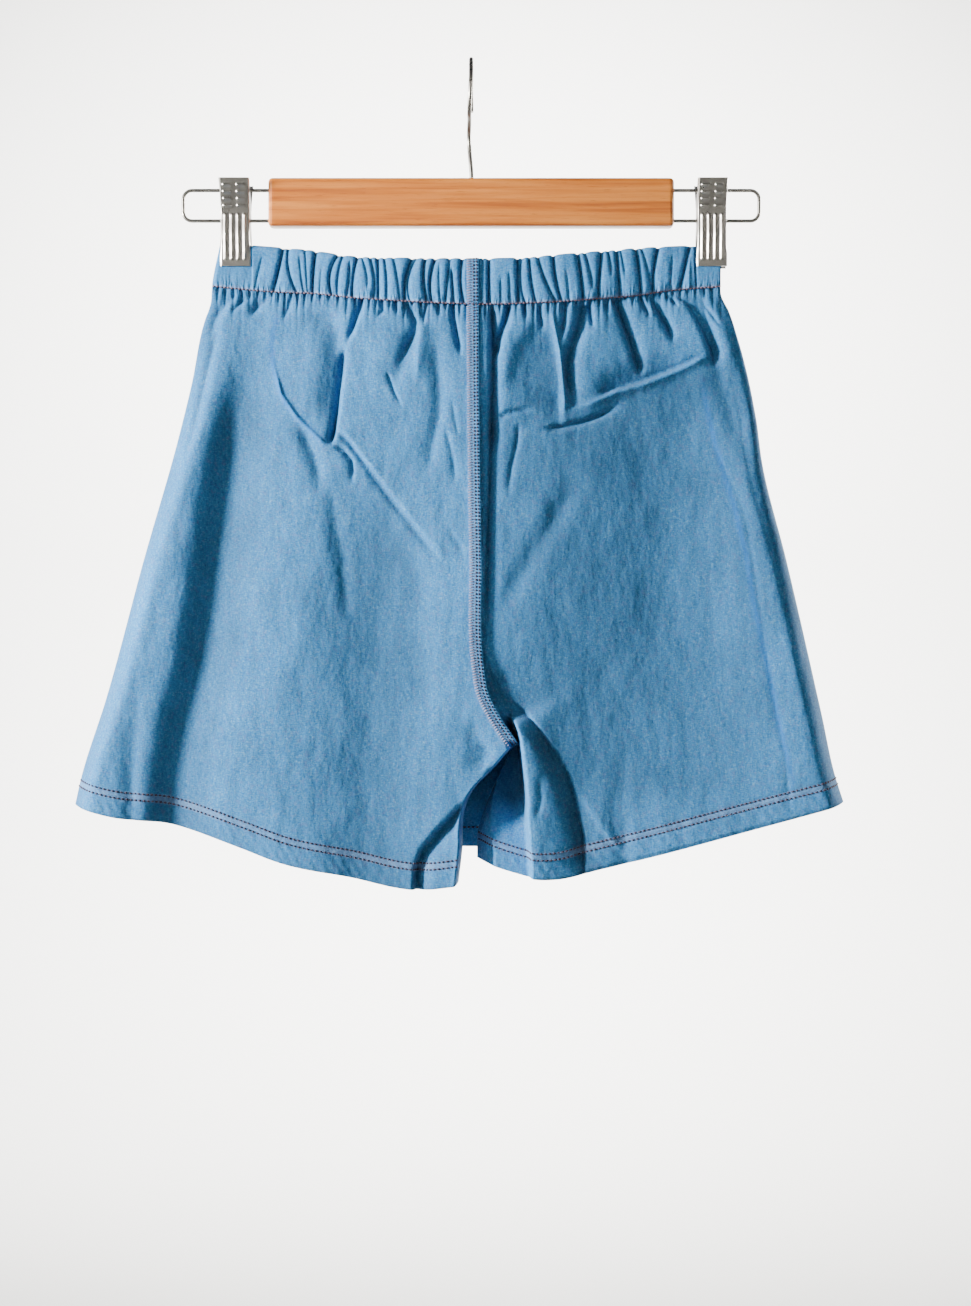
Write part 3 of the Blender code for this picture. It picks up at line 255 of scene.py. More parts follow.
RIGHT_FOLDS = [
    Fold("groove by the seam, upper", 6.5, 1.6, 3.4, 0.1, 0.2, [(12.6, 152), (13.4, 170), (13.6, 185),
         (13.4, 207), (13, 226), (12.4, 250)]),
    Fold("groove by the seam, lower", 4.4, 1.3, 2.8, 0.15, 0.3, [(13, 218), (12.4, 245), (11.6, 275),
         (10.4, 305), (9.6, 335), (9.8, 372)]),
    Fold("gather into the groove", 6, 2.2, 1.8, 0.08, 0.2, [(24.4, 153), (21.7, 165.1), (17.4, 176),
         (15, 188)]),
    Fold("gather end 1", 2.2, 1.5, 1.1, 0.1, 0.5, [(33.6, 153), (34.6, 165)]),
    Fold("gather end 2", 2.8, 1.6, 1.2, 0.1, 0.4, [(42.5, 152.5), (43.4, 162), (46, 171)]),
    Fold("hollow before the roll", 3.4, 19, 2.4, 0.3, 0.3, [(49, 163), (52.6, 185), (54.6, 205),
         (55, 236)]),
    Fold("diagonal hollow", 2.4, 7, 20, 0.2, 0.3, [(49, 160), (42, 172.6), (33.6, 185.2), (27.4, 204.1),
         (25.4, 216)]),
    Fold("gather end 3", 3.6, 1.8, 1.2, 0.06, 0.4, [(59.8, 152), (58.5, 165), (56, 178)]),
    Fold("upright roll", -2, 2, 1.6, 0.2, 0.15, [(49.8, 156), (52.6, 171.3), (55.6, 187.7), (57.4, 202.8),
         (58.2, 214.2), (58, 226)]),
    Fold("gather beside the roll", 6, 2.4, 4.4, 0.05, 0.25, [(69.9, 152), (67.3, 167.5), (62.9, 180.1),
         (60.4, 189), (60.6, 201.6), (62.4, 212), (65.6, 221)]),
    Fold("gather end 4", 3.4, 1.6, 1.2, 0.06, 0.5, [(74, 151.5), (75.2, 162), (77, 171)]),
    Fold("gather end 5", 2, 1.3, 1.1, 0.1, 0.5, [(84.7, 150.5), (85.5, 160)]),
    Fold("long gather end", 6, 1.8, 3.6, 0.05, 0.2, [(90.6, 148.6), (95, 162.5), (99.6, 176.4),
         (103.2, 187.7), (106.6, 199)]),
    Fold("gather end 6", 2.6, 1.5, 1.2, 0.08, 0.5, [(106.5, 147.5), (110.2, 157), (113, 163)]),
    Fold("gather end 7", 4.6, 1.8, 3.2, 0.05, 0.3, [(113.3, 147), (118.1, 157.5), (123.4, 167.5),
         (127.6, 179)]),
    Fold("gather end 8", 2.2, 1.4, 1.2, 0.08, 0.5, [(123.6, 146), (130.7, 155)]),
    Fold("pleat under the right clip", 7, 2, 5.2, 0.06, 0.2, [(129.4, 143.8), (137.4, 150.2),
         (143.6, 161.2), (148.4, 172.6), (151.8, 182), (153, 194)]),
    Fold("its soft fall", 2, 6, 7, 0.2, 0.5, [(152.6, 184), (156, 198), (160, 212), (166, 232),
         (172, 262)]),
    Fold("thin one beside the pleat", 1.6, 1.3, 1.1, 0.15, 0.3, [(140.4, 145), (149, 156), (157.6, 168)]),
    Fold("hollow over the hip slant", 2.6, 9, 3, 0.25, 0.25, [(136, 189), (120, 194.5), (106, 199.5),
         (90, 204.5), (77, 211)]),
    Fold("crisp line over the slant", 2.4, 1.5, 0.8, 0.15, 0.2, [(148.5, 184), (134, 190.6), (119, 196.6),
         (106.4, 201.8), (90, 206.6), (76, 213.2)]),
    Fold("slant over the hip", -3, 1.5, 2.8, 0.12, 0.2, [(149, 185.5), (133, 193.6), (119.6, 199.4),
         (107, 204.4), (90.6, 209), (75.4, 216), (62, 220)]),
    Fold("crease under the slant", 4.2, 1.2, 1.8, 0.3, 0.3, [(94.6, 214.4), (87.9, 219.6), (80.3, 223.6),
         (70.3, 227.4), (60.2, 229.9), (50.1, 231.6), (42, 232.2)]),
    Fold("crease at the seam", 2.2, 1.2, 1.4, 0.15, 0.35, [(16.6, 225.4), (22.4, 223), (29.9, 221.1),
         (40, 220.5)]),
    Fold("soft line below it", 1.2, 2, 1.6, 0.15, 0.4, [(30, 227), (28.8, 242), (25.2, 257), (22.6, 280)]),
    Fold("broad hollow", 10.5, 92, 50, 0.2, 0.3, [(126, 170), (130, 215), (134, 260), (136, 320),
         (132, 390), (124, 500)]),
    Fold("its deeper middle", 2.4, 21, 40, 0.2, 0.3, [(108, 215), (116, 250), (120, 300), (120, 350),
         (114, 400)]),
    Fold("soft fall 1", 1.3, 6, 6, 0.3, 0.3, [(72, 258), (50, 292), (30, 325), (16, 352)]),
    Fold("soft fall 2", 1.5, 8, 6, 0.3, 0, [(96, 420), (92, 465), (98, 530)]),
    Fold("pressed side crease", 0.5, 2.6, 2, 0.12, 0.05, [(146.3, 227.9), (157.2, 254.6), (169.3, 281.2),
         (176.6, 322.4), (181.4, 361.2), (186.3, 395.1), (193.5, 433.9), (197.2, 475)]),
    Fold("fold from the seam's foot", 3.8, 6.5, 1, 0.12, 0.3, [(9.8, 374), (12.9, 384.3), (18.6, 395.6),
         (26.2, 404.4), (31.2, 406.9), (38.8, 415.8), (46.3, 425.8), (53.9, 437.2), (60.2, 449.8),
         (64, 462.4), (66.5, 475), (69, 485.1), (71, 530)], step=-2.8),
    Fold("knot by the seam's foot", 3.4, 2.2, 1.2, 0.2, 0.3, [(27.4, 404.8), (24, 412.5), (25, 421),
         (27.4, 431)]),
    Fold("ridge inside the leg", -6.4, 0.9, 23, 0.06, 0.3, [(25, 411), (28.4, 418.3), (31, 429.6),
         (32.4, 442.2), (34.2, 454.8), (35, 463.6), (34.9, 472.5), (36.2, 485.1), (38.5, 530)]),
    Fold("hollow left of the ridge", 2.6, 6, 2.6, 0.2, 0.4, [(24, 432), (26, 455), (29, 486)]),
    Fold("fall right of the ridge", 1.1, 2.2, 2.2, 0.3, 0.3, [(42, 446), (43, 462), (40, 476)]),
    Fold("drag line to the hem", -1, 1.6, 5, 0.3, 0.3, [(64, 452), (72, 466), (84, 484), (96, 498)])]
HIP_CREASE = [(-119.4, 155), (-123.8, 168.2), (-125.1, 181.4), (-122.5, 197.8), (-115.6, 216.1),
              (-101.1, 231.8), (-86.6, 246.3)]
SIDE_CREASE = [(144, 192.2), (146.5, 214.2), (152.8, 242.6), (163.5, 278.5), (171, 310.6), (175.5, 340.8),
               (183.6, 381.8), (191.8, 422.7), (198.1, 450.4), (197, 474)]
# A darker, bluer line is painted along these two creases: painted shade.
CREASE_WIDTH, CREASE_SHADE = 1.9, 0.45
RIDGE = [(405, 24), (411, 26), (418, 28.8), (430, 31.2), (442, 32.8), (455, 34.4), (464, 35), (472, 35),
         (485, 36.2), (500, 37.6), (530, 39)]
RIDGE_TURN = 2.2             # the cloth falls back beside the upright ridge over this width
RIDGE_FROM, RIDGE_EASE = 408.0, 20.0
FORWARD_FROM, FORWARD_EASE, FORWARD = 446.0, 54.0, 0.72   # lower down, the sunk part comes forward again


def smooth_curve(table):
    """A smooth line through a short table, as a function of its first column."""
    t = np.array([row[0] for row in table], float)
    f = np.array([row[1] for row in table], float)
    slope = np.gradient(f, t)

    def value(q):
        q = np.asarray(q, float)
        i = np.clip(np.searchsorted(t, q) - 1, 0, len(t) - 2)
        step = t[i + 1] - t[i]
        s = np.clip((q - t[i]) / step, 0, 1)
        inside = ((2 * s**3 - 3 * s**2 + 1) * f[i] + (s**3 - 2 * s**2 + s) * step * slope[i]
                  + (3 * s**2 - 2 * s**3) * f[i + 1] + (s**3 - s**2) * step * slope[i + 1])
        return inside + np.minimum(q - t[0], 0) * slope[0] + np.maximum(q - t[-1], 0) * slope[-1]

    return value


def ease(t):
    t = np.clip(t, 0, 1)
    return t * t * (3 - 2 * t)


def quarter_round(distance, radius):
    """Rises from 0 at an edge to 1 over the radius, as a quarter of an ellipse does."""
    return np.sqrt(1 - (1 - np.clip(distance / radius, 0, 1))**2)


left_side = smooth_curve(LEFT_SIDE)
right_side = smooth_curve(RIGHT_SIDE)
waist_drop = smooth_curve(WAIST)
casing_drop = smooth_curve(CASING_SEAM)
seam_above = smooth_curve(CENTRE_SEAM)
left_below = smooth_curve(LEFT_INSEAM)
right_below = smooth_curve(RIGHT_INSEAM)
back_depth = smooth_curve(BACK_DEPTH)
inseam_depth = smooth_curve(INSEAM_DEPTH)
ridge_line = smooth_curve(RIDGE)


def left_inner(drop):
    return np.where(drop < CROTCH, seam_above(np.minimum(drop, CROTCH)), left_below(drop)) - SEAM_GAP / 2


def right_inner(drop):
    return np.where(drop < CROTCH, seam_above(np.minimum(drop, CROTCH)), right_below(drop)) + SEAM_GAP / 2


def from_sides(x, drop):
    return np.minimum(x - left_side(drop), right_side(drop) - x)


def fullness(x, drop):
    """0 where back and front meet, at the side seams and clips, and 1 in the open body."""
    lens = ease((PINCH_HALF - np.abs(x)) / PINCH_EASE)
    body = quarter_round(from_sides(x, drop), SIDE_ROUND)
    return lens + (body - lens) * ease((drop - BODY_FROM) / (BODY_TO - BODY_FROM))


def to_inseam(x, drop, inner, turn, above=16.0):
    """1 at the inseam and the crotch, where back and front meet, easing to 0 away from them."""
    legs = ease((drop - CROTCH + above) / above)
    near = np.clip(np.abs(x - inner(drop)) / turn, 0, 1)
    return legs * (1 - np.sin(near * math.pi / 2))


def sunk_inside(x, drop, leg):
    """1 where a leg's inner part lies back against its front: as far as the upright ridge on the right."""
    by_seam = to_inseam(x, drop, leg.inner, leg.turn, leg.above)
    if not leg.seam_first:
        return by_seam
    before_ridge = 1 - ease((x - ridge_line(drop) + RIDGE_TURN) / RIDGE_TURN)
    forward = FORWARD * ease((drop - FORWARD_FROM) / FORWARD_EASE)
    fading = ease((drop - RIDGE_FROM) / RIDGE_EASE) * (1 - forward)
    return before_ridge * np.maximum(by_seam, fading)


def along_path(x, drop, points):
    """Signed distance to a path (+ on its right, going down) and the share of its length there."""
    path = np.array(points, float)
    lengths = np.hypot(*(path[1:] - path[:-1]).T)
    run = np.concatenate([[0], np.cumsum(lengths)])
    best = np.full(x.shape, 1e9)
    share = np.zeros(x.shape)
    side = np.ones(x.shape)
    for a, b, start, length in zip(path[:-1], path[1:], run[:-1], lengths):
        way = (b - a) / length
        reach = np.clip((x - a[0]) * way[0] + (drop - a[1]) * way[1], 0, length)
        dx = x - a[0] - way[0] * reach
        dd = drop - a[1] - way[1] * reach
        distance = np.hypot(dx, dd)
        nearer = distance < best
        best = np.where(nearer, distance, best)
        share = np.where(nearer, (start + reach) / run[-1], share)
        side = np.where(nearer, np.where(dx * way[1] - dd * way[0] >= 0, 1, -1), side)
    return best * side, share


def fold_relief(x, drop, folds):
    """How far folds sink (-) or raise (+) the cloth: narrow sides are crisp and wide ones round."""
    relief = np.zeros(x.shape)
    for fold in folds:
        signed, share = along_path(x, drop, fold.points)
        strength = ease(share / max(fold.fade_in, 1e-3)) * ease((1 - share) / max(fold.fade_out, 1e-3))
        width = np.where(signed < 0, fold.left, fold.right)
        sharpness = 1.35 + 0.65 * ease((width - 2.0) / 6)
        relief -= fold.depth * strength * np.exp(-(np.abs(signed) / width)**sharpness)
        over = 0.5 * (1 + np.tanh(signed / STEP_EDGE)) * np.exp(-np.maximum(signed, 0) / STEP_REACH)
        relief += fold.step * strength * over
    return relief


def slight_waves(x, drop):
    """The slack that cloth always has: low waves of unlike lengths, leaning a little."""
    long = np.sin(x / 17 + drop / 61 + 0.4) * np.sin(drop / 47 - x / 90 + 1.1)
    short = np.sin(x / 7.3 - drop / 33 + 2.0) * np.sin(drop / 19 + x / 23 + 0.3)
    return WAVES[0] * long + WAVES[1] * short


def short_gathers(x, away):
    """The small ends of gathers beside a row that draws the cloth in: each fades at its own distance."""
    uneven = 1.8 * np.sin(x / 9.3) + 1.1 * np.sin(x / 23)
    valley = (0.5 + 0.5 * np.sin(2 * math.pi * x / SHORT_PITCH + uneven))**3
    reach = 3.2 + 5.5 * (0.5 + 0.5 * np.sin(x / 6.1 + 1))
    return -SHORT_DEPTH * valley * np.exp(-np.maximum(away, 0) / reach)


def hem_tint(above_hem):
    """How far thread tints the cloth, between and just beside a hem's two rows."""
    return HEM_TINT * ease(above_hem - HEM_ROWS[0] + 1.2) * ease(HEM_ROWS[1] + 1.2 - above_hem)


def hem_relief(above_hem, x):
    """Two rows of stitches pull the turned-up hem in, and the layers between them stay plump."""
    rows = sum(np.exp(-((above_hem - row) / 0.9)**2) for row in HEM_ROWS)
    roping = np.sin(2 * math.pi * (x + 0.8 * above_hem) / 7.6 + np.sin(x / 6)) * ease((18 - above_hem) / 6)
    turn = 1 - quarter_round(np.maximum(above_hem, 0), 1.3)
    return -0.38 * rows + 0.08 * roping - 0.9 * turn


def back_out(x, drop, leg):
    """Outer surface of a short leg's back: how far it stands off the middle plane."""
    side = from_sides(x, drop)
    legs = ease((drop - CROTCH + 12) / 12)
    by_inseam = 1 - legs * (1 - ease(np.abs(x - leg.inner(drop)) / 6))
    folds = (fold_relief(x, drop, leg.folds) + slight_waves(x, drop)) * by_inseam
    folds = folds * ease(side / 12)
    below = drop - casing_drop(x) - SEAM_GAP
    drawn = short_gathers(x, below) - 0.8 * np.exp(-(below / 1.2)**2)
    inseam = sunk_inside(x, drop, leg)
    slack = SLACK * ease(below / 12) * ease(side / 14)
    body = (back_depth(drop) * fullness(x, drop) + slack) * (1 - inseam)
    flat = SEAM_GAP / 2 + CLOTH * (0.15 + 0.85 * quarter_round(side, EDGE_TURN))
    out = flat + np.maximum(body + folds, 0) + inseam_depth(drop) * inseam
    out = out + (drawn + hem_relief(leg.hem(x) - drop, x)) * ease(side / 4)
    return np.maximum(out, SEAM_GAP / 2 + 0.2)


def ends_of(rim):
    return rim[0][0], rim[-1][0]


Leg = namedtuple("Leg", "hem_ends hem side inner folds crease seam_first turn above")
left_leg = Leg(ends_of(LEFT_HEM), smooth_curve(LEFT_HEM), left_side, left_inner, LEFT_FOLDS, HIP_CREASE,
               False, 2.6, 4)
right_leg = Leg(ends_of(RIGHT_HEM), smooth_curve(RIGHT_HEM), right_side, right_inner, RIGHT_FOLDS,
                SIDE_CREASE, True, 22, 16)


def leg_grid(leg, steps, rise=0.0, short_of_side=0.0):
    """x and drop of a leg panel's points, in rows from the casing seam to the hem, an odd count of each.

    The steps are the columns' spacing, then the rows' in each of four zones going down.
    """
    side_x, seam_x = leg.hem_ends[::-1] if leg.seam_first else leg.hem_ends
    top_seam = float(casing_drop(seam_above(PANEL_TOP))) + SEAM_GAP
    hem_seam = float(leg.hem(seam_x)) - rise
    levels = [top_seam, FINE_TO, CROTCH, hem_seam - HEM_ZONE, hem_seam]
    counts = [2 * round((low - high) / step / 2) for high, low, step in zip(levels, levels[1:], steps[1:])]
    columns = 2 * round(abs(side_x - seam_x) / steps[0] / 2) + 1

    def shares(stops):
        parts = [np.linspace(a, b, count + 1)[1:] for a, b, count in zip(stops, stops[1:], counts)]
        return np.concatenate([[0.0], *parts])[:, None]

    at_seam = shares([(level - top_seam) / (hem_seam - top_seam) for level in levels])
    at_side = shares(ZONES_AT_SIDE)
    share = np.linspace(0, 1, columns)[None, :]
    x_top = leg.side(PANEL_TOP) + share * (leg.inner(PANEL_TOP) - leg.side(PANEL_TOP))
    x_hem = side_x + share * (seam_x - side_x)
    top = casing_drop(x_top) + SEAM_GAP
    foot = leg.hem(x_hem) - rise
    drop = top + (foot - top) * (at_side + (at_seam - at_side) * share)
    start = leg.side(drop) + short_of_side * (-1 if leg.seam_first else 1)
    x = start + share * (leg.inner(drop) - start)
    return (x[:, ::-1], drop[:, ::-1]) if leg.seam_first else (x, drop)


def lowest_near(out):
    """The least of each point and its neighbours, so that an inner face stays inside sharp folds."""
    padded = np.pad(out, 1, mode="edge")
    rows, columns = out.shape
    return np.min([padded[r:r + rows, c:c + columns] for r in range(3) for c in range(3)], axis=0)


def at(x, drop, y):
    return np.stack([x, y, -drop], axis=-1)


def cloth_wall(name, outer, inner, material, marks=None):
    """A closed wall of cloth: a fine outer grid, an inner grid of every second point, and four rims."""
    rows, columns = outer.shape[:2]
    low_rows, low_columns = inner.shape[:2]
    points = np.concatenate([outer.reshape(-1, 3), inner.reshape(-1, 3)]) * MM
    first_inner = rows * columns
    fine = np.arange(first_inner).reshape(rows, columns)
    coarse = first_inner + np.arange(low_rows * low_columns).reshape(low_rows, low_columns)
    faces = []
    for net, turned in ((fine, False), (coarse, True)):
        quads = np.stack([net[:-1, :-1], net[:-1, 1:], net[1:, 1:], net[1:, :-1]], -1).reshape(-1, 4)
        faces.extend((quads[:, ::-1] if turned else quads).tolist())
    rims = []
    for long_edge, short_edge in ((fine[0], coarse[0]), (fine[-1], coarse[-1]),
                                  (fine[:, 0], coarse[:, 0]), (fine[:, -1], coarse[:, -1])):
        for k in range(len(short_edge) - 1):
            rims.append([int(long_edge[2 * k]), int(long_edge[2 * k + 1]), int(long_edge[2 * k + 2]),
                         int(short_edge[k + 1]), int(short_edge[k])])
    mesh = bpy.data.meshes.new(name)
    mesh.from_pydata(points.tolist(), [], faces + rims)
    mesh.shade_smooth()
    shape = bmesh.new()
    shape.from_mesh(mesh)
    bmesh.ops.recalc_face_normals(shape, faces=shape.faces)
    shape.faces.ensure_lookup_table()
    for face in shape.faces[len(faces):]:
        for edge in face.edges:
            edge.smooth = False
    shape.to_mesh(mesh)
    shape.free()
    for mark, values in (marks or {}).items():
        layer = mesh.attributes.new(mark, "FLOAT", "POINT")
        full = np.zeros(len(points), np.float32)
        full[:first_inner] = values.reshape(-1)
        layer.data.foreach_set("value", full)
    mesh.materials.append(material)
    return add_object(name, mesh)


def dress(piece, slot, *nodes):
    """Rides the one body and stands for the nodes named, which it hides. The slot is not used."""
    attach(piece, "root")
    if nodes:
        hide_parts(*nodes)
    return piece


# Denim: a piece-dyed look woven from blue warp and white weft, washed once. Threads are 0.5 mm apart,
# too fine for the picture, so slubs are drawn 1 to 3 mm long. Wear pales what stands proud, and painted
# shade darkens the folds' valleys, the gathers and the seam's ditches.
DENIM = {"deep": "#1B5A95", "warp": "#2D74AF", "face": "#4287BD", "slub": "#70A7CF", "lilac": "#6D78AC",
         "pressed": "#1660AC", "stitched": "#8E9BBD"}
# INSIDE_DARK and BAND_DARK set how much shade is painted into the crotch's folds; SHADE sets the cloth's
# overall tone.
SHADE, INSIDE_DARK, BAND_DARK, BAND_WIDTH = 0.93, 2.4, 1.4, 9.0
SLUB_ACROSS, SLUB_DOWN = (1.7, 1.7, 0.7), (0.7, 1.7, 2.2)
PUCKER, DRAWN_BELOW, DRAWN_ABOVE = (2.0, 30.0, 9.0), 3.4, 2.8   # small puckers that the stitching draws up
RUMPLE = (14.0, 30.0, 26.0)
PUCKER_HEIGHT, RUMPLE_HEIGHT, WEAVE_HEIGHT = 3.6, 1.7, 0.17


def set_stops(ramp, stops):
    """The colours of a colour ramp, as (place, hex) from low to high."""
    while len(ramp.elements) < len(stops):
        ramp.elements.new(1.0)
    for element, (place, colour) in zip(ramp.elements, stops):
        element.position = place
        element.color = to_linear(colour)


def stretched_noise(tree, place, size, settings):
    """Noise whose cells are as large as stated, in millimetres along X, Y and Z."""
    stretch = add_node(tree, "ShaderNodeMapping", {"Scale": [1000 / s for s in size]},
                       {"Vector": (place, "Object")})
    return add_node(tree, "ShaderNodeTexNoise", {"Scale": 1.0, **settings}, {"Vector": (stretch, "Vector")})


def denim():
    material, tree = new_material("washed_stretch_denim")
    place = add_node(tree, "ShaderNodeTexCoord")
    across = stretched_noise(tree, place, SLUB_ACROSS, {"Detail": 3.0, "Roughness": 0.6})
    down = stretched_noise(tree, place, SLUB_DOWN, {"Detail": 3.0, "Roughness": 0.6})
    woven = add_node(tree, "ShaderNodeMix", {"data_type": "FLOAT", "Factor": 0.45},
                     {"A": (across, "Fac"), "B": (down, "Fac")})
    heather = add_node(tree, "ShaderNodeValToRGB", links={"Fac": (woven, "Result")})
    set_stops(heather.color_ramp, [(0.30, DENIM["deep"]), (0.43, DENIM["warp"]), (0.55, DENIM["face"]),
                                   (0.70, DENIM["slub"])])
    lilac_noise = add_node(tree, "ShaderNodeTexNoise", {"Scale": 420.0, "Detail": 2.0},
                           {"Vector": (place, "Object")})
    lilac_spots = add_node(tree, "ShaderNodeMapRange", {"From Min": 0.52, "From Max": 0.72, "To Max": 0.3},
                           {"Value": (lilac_noise, "Fac")})
    flecked = add_node(tree, "ShaderNodeMix", {"data_type": "RGBA", "B": to_linear(DENIM["lilac"])},
                       {"Factor": (lilac_spots, "Result"), "A": (heather, "Color")})
    mottle = add_node(tree, "ShaderNodeTexNoise", {"Scale": 26.0, "Detail": 3.0},
                      {"Vector": (place, "Object")})
    cloudy = add_node(tree, "ShaderNodeMapRange", {"From Min": 0.3, "From Max": 0.7, "To Min": 0.88,
                                                   "To Max": 1.1}, {"Value": (mottle, "Fac")})
    # The relief mark sets the cloth's value: it pales what stands proud, as wear, and darkens fold valleys,
    # gathers, seam ditches and the crotch's deep folds, which is painted shade.
    relief = add_node(tree, "ShaderNodeAttribute", {"attribute_name": "relief"})
    wear_and_shade = add_node(tree, "ShaderNodeMapRange", {"From Min": DEEPEST_SHADE, "From Max": 1.0, "To Min": 0.27,
                                                 "To Max": 1.32}, {"Value": (relief, "Fac")})
    value = add_node(tree, "ShaderNodeMath", {"operation": "MULTIPLY"},
                     {0: (cloudy, "Result"), 1: (wear_and_shade, "Result")})
    shaded = add_node(tree, "ShaderNodeMath", {"operation": "MULTIPLY", 1: SHADE}, {0: (value, "Value")})
    toned_and_shaded = add_node(tree, "ShaderNodeHueSaturation", links={"Value": (shaded, "Value"),
                                                              "Color": (flecked, "Result")})
    cloth = (toned_and_shaded, "Color")
    # The pressed mark is painted shade, a darker blue along the creases; the stitched mark is the thread's
    # own colour.
    for mark in ("pressed", "stitched"):
        amount = add_node(tree, "ShaderNodeAttribute", {"attribute_name": mark})
        tinted = add_node(tree, "ShaderNodeMix", {"data_type": "RGBA", "B": to_linear(DENIM[mark])},
                          {"Factor": (amount, "Fac"), "A": cloth})
        cloth = (tinted, "Result")
    pucker = stretched_noise(tree, place, PUCKER, {"Detail": 1.0})
    rumple = stretched_noise(tree, place, RUMPLE, {"Detail": 3.0})
    drawn = add_node(tree, "ShaderNodeAttribute", {"attribute_name": "drawn"})
    drawn_high = add_node(tree, "ShaderNodeMath", {"operation": "MULTIPLY", 1: PUCKER_HEIGHT},
                          {0: (drawn, "Fac")})
    rumpled = add_node(tree, "ShaderNodeMath", {"operation": "MULTIPLY", 1: RUMPLE_HEIGHT},
                       {0: (rumple, "Fac")})
    puckered = add_node(tree, "ShaderNodeMath", {"operation": "MULTIPLY_ADD"}, {
        0: (pucker, "Fac"), 1: (drawn_high, "Value"), 2: (rumpled, "Value")})
    height = add_node(tree, "ShaderNodeMath", {"operation": "MULTIPLY_ADD", 1: WEAVE_HEIGHT}, {
        0: (woven, "Result"), 2: (puckered, "Value")})
    bump = add_node(tree, "ShaderNodeBump", {"Distance": MM}, {"Height": (height, "Value")})
    finish_surface(tree, add_node(tree, "ShaderNodeBsdfPrincipled", {
        "Roughness": 0.88, "Specular IOR Level": 0.2, "Sheen Weight": 0.1, "Sheen Roughness": 0.45},
        {"Base Color": cloth, "Normal": (bump, "Normal")}))
    return material


denim_cloth = denim()


def painted_crotch_shade(x, drop, turned):
    """Painted shade for the crotch's deep folds: inside the ridge, and in a band past it."""
    inside = INSIDE_DARK * turned * (1 - ease((drop - CROTCH - 12) / 60))
    past_ridge = x - ridge_line(drop)
    middle_of_band = 5 + 0.3 * (drop - 412)
    band = ease((past_ridge - 1) / 3) * np.exp(-((past_ridge - middle_of_band) / BAND_WIDTH)**2)
    return inside + BAND_DARK * band * ease((drop - RIDGE_FROM) / RIDGE_EASE)


def leg_back(name, leg, node):
    x, drop = leg_grid(leg, FINE_STEPS)
    out = back_out(x, drop, leg)
    above = leg.hem(x) - drop
    wall = np.where(above < HEM_TURNED_UP, HEM, CLOTH)
    turned = sunk_inside(x, drop, leg)
    inseam = inseam_depth(drop) * turned
    near = np.maximum(lowest_near(out) - wall, SEAM_GAP / 2 + inseam * 0.98)
    near = np.minimum(near, lowest_near(out) - THINNEST)
    plain = (back_depth(drop) * fullness(x, drop) + SLACK) * (1 - turned)
    # Relief: the cloth is paler where it stands proud, as wear, and painted darker in the folds' valleys as
    # shade. On the right leg, more shade is painted into the crotch.
    relief = np.clip((out - plain - inseam - SEAM_GAP / 2 - CLOTH) / 5, -1, PROUD)
    if leg.seam_first:
        relief = np.maximum(relief - painted_crotch_shade(x, drop, turned), DEEPEST_SHADE)
    # Painted shade along the crease, in its darker blue.
    signed, share = along_path(x, drop, leg.crease)
    pressed = CREASE_SHADE * np.exp(-(signed / CREASE_WIDTH)**2) * ease(share / 0.1) * ease((1 - share) / 0.15)
    marks = {"relief": relief, "stitched": hem_tint(above), "pressed": pressed,
             "drawn": np.exp(-(drop - casing_drop(x)) / DRAWN_BELOW)}
    return dress(cloth_wall(name, at(x, drop, -out), at(x, drop, -near)[::2, ::2], denim_cloth, marks),
                 "denim_back", node)


back_left = leg_back("leg_back_left", left_leg, "back_panel_left")
back_right = leg_back("leg_back_right", right_leg, "back_panel_right")

# Casings
# The waist edge of each back and of the front is folded over a 25 mm elastic and stitched down once.
# The elastic draws the cloth into uneven gathers, crisp at their valleys and plump between them.
# A gather's places across are at the waist, halfway down and at the foot. Start and end are shares of that.
Gather = namedtuple("Gather", "top middle foot depth start end", defaults=(0, 1))
LEFT_GATHERS = [
    Gather(-129, -133, -136, 0.7, 0.4), Gather(-118.5, -121.1, -124.8, 2.5),
    Gather(-114.8, -114.6, -109.6, 1.6), Gather(-108, -107, -105, 0.8, 0.3),
    Gather(-104.3, -103.4, -102.7, 0.9), Gather(-97.5, -99, -99.6, 2.6), Gather(-92.5, -94, -95, 0.6, 0.5),
    Gather(-83.3, -88.6, -87.5, 2.1), Gather(-80.2, -83.3, -83.8, 1.5, 0.1),
    Gather(-76, -76.4, -78, 1.5, 0.3), Gather(-71.2, -73.8, -74.4, 2.5),
    Gather(-68.6, -65, -66, 1, 0, 0.6), Gather(-63.4, -60.7, -61.3, 1.7), Gather(-58.6, -58.1, -58.1, 2.4),
    Gather(-54.4, -52.9, -52.9, 1.6), Gather(-48.6, -46, -44.5, 1.1), Gather(-37.1, -41.3, -41.3, 2.6),
    Gather(-34, -39.2, -38.2, 1.5, 0.1), Gather(-28.7, -29.8, -27.7, 2.3),
    Gather(-22.4, -25.6, -24.5, 2.6), Gather(-19.6, -20, -19, 0.8, 0.3), Gather(-13.5, -14.8, -16.1, 1.6),
    Gather(-12.4, -11.8, -10.9, 2.2, 0.4), Gather(-5.6, -6.7, -4.6, 2.4)]
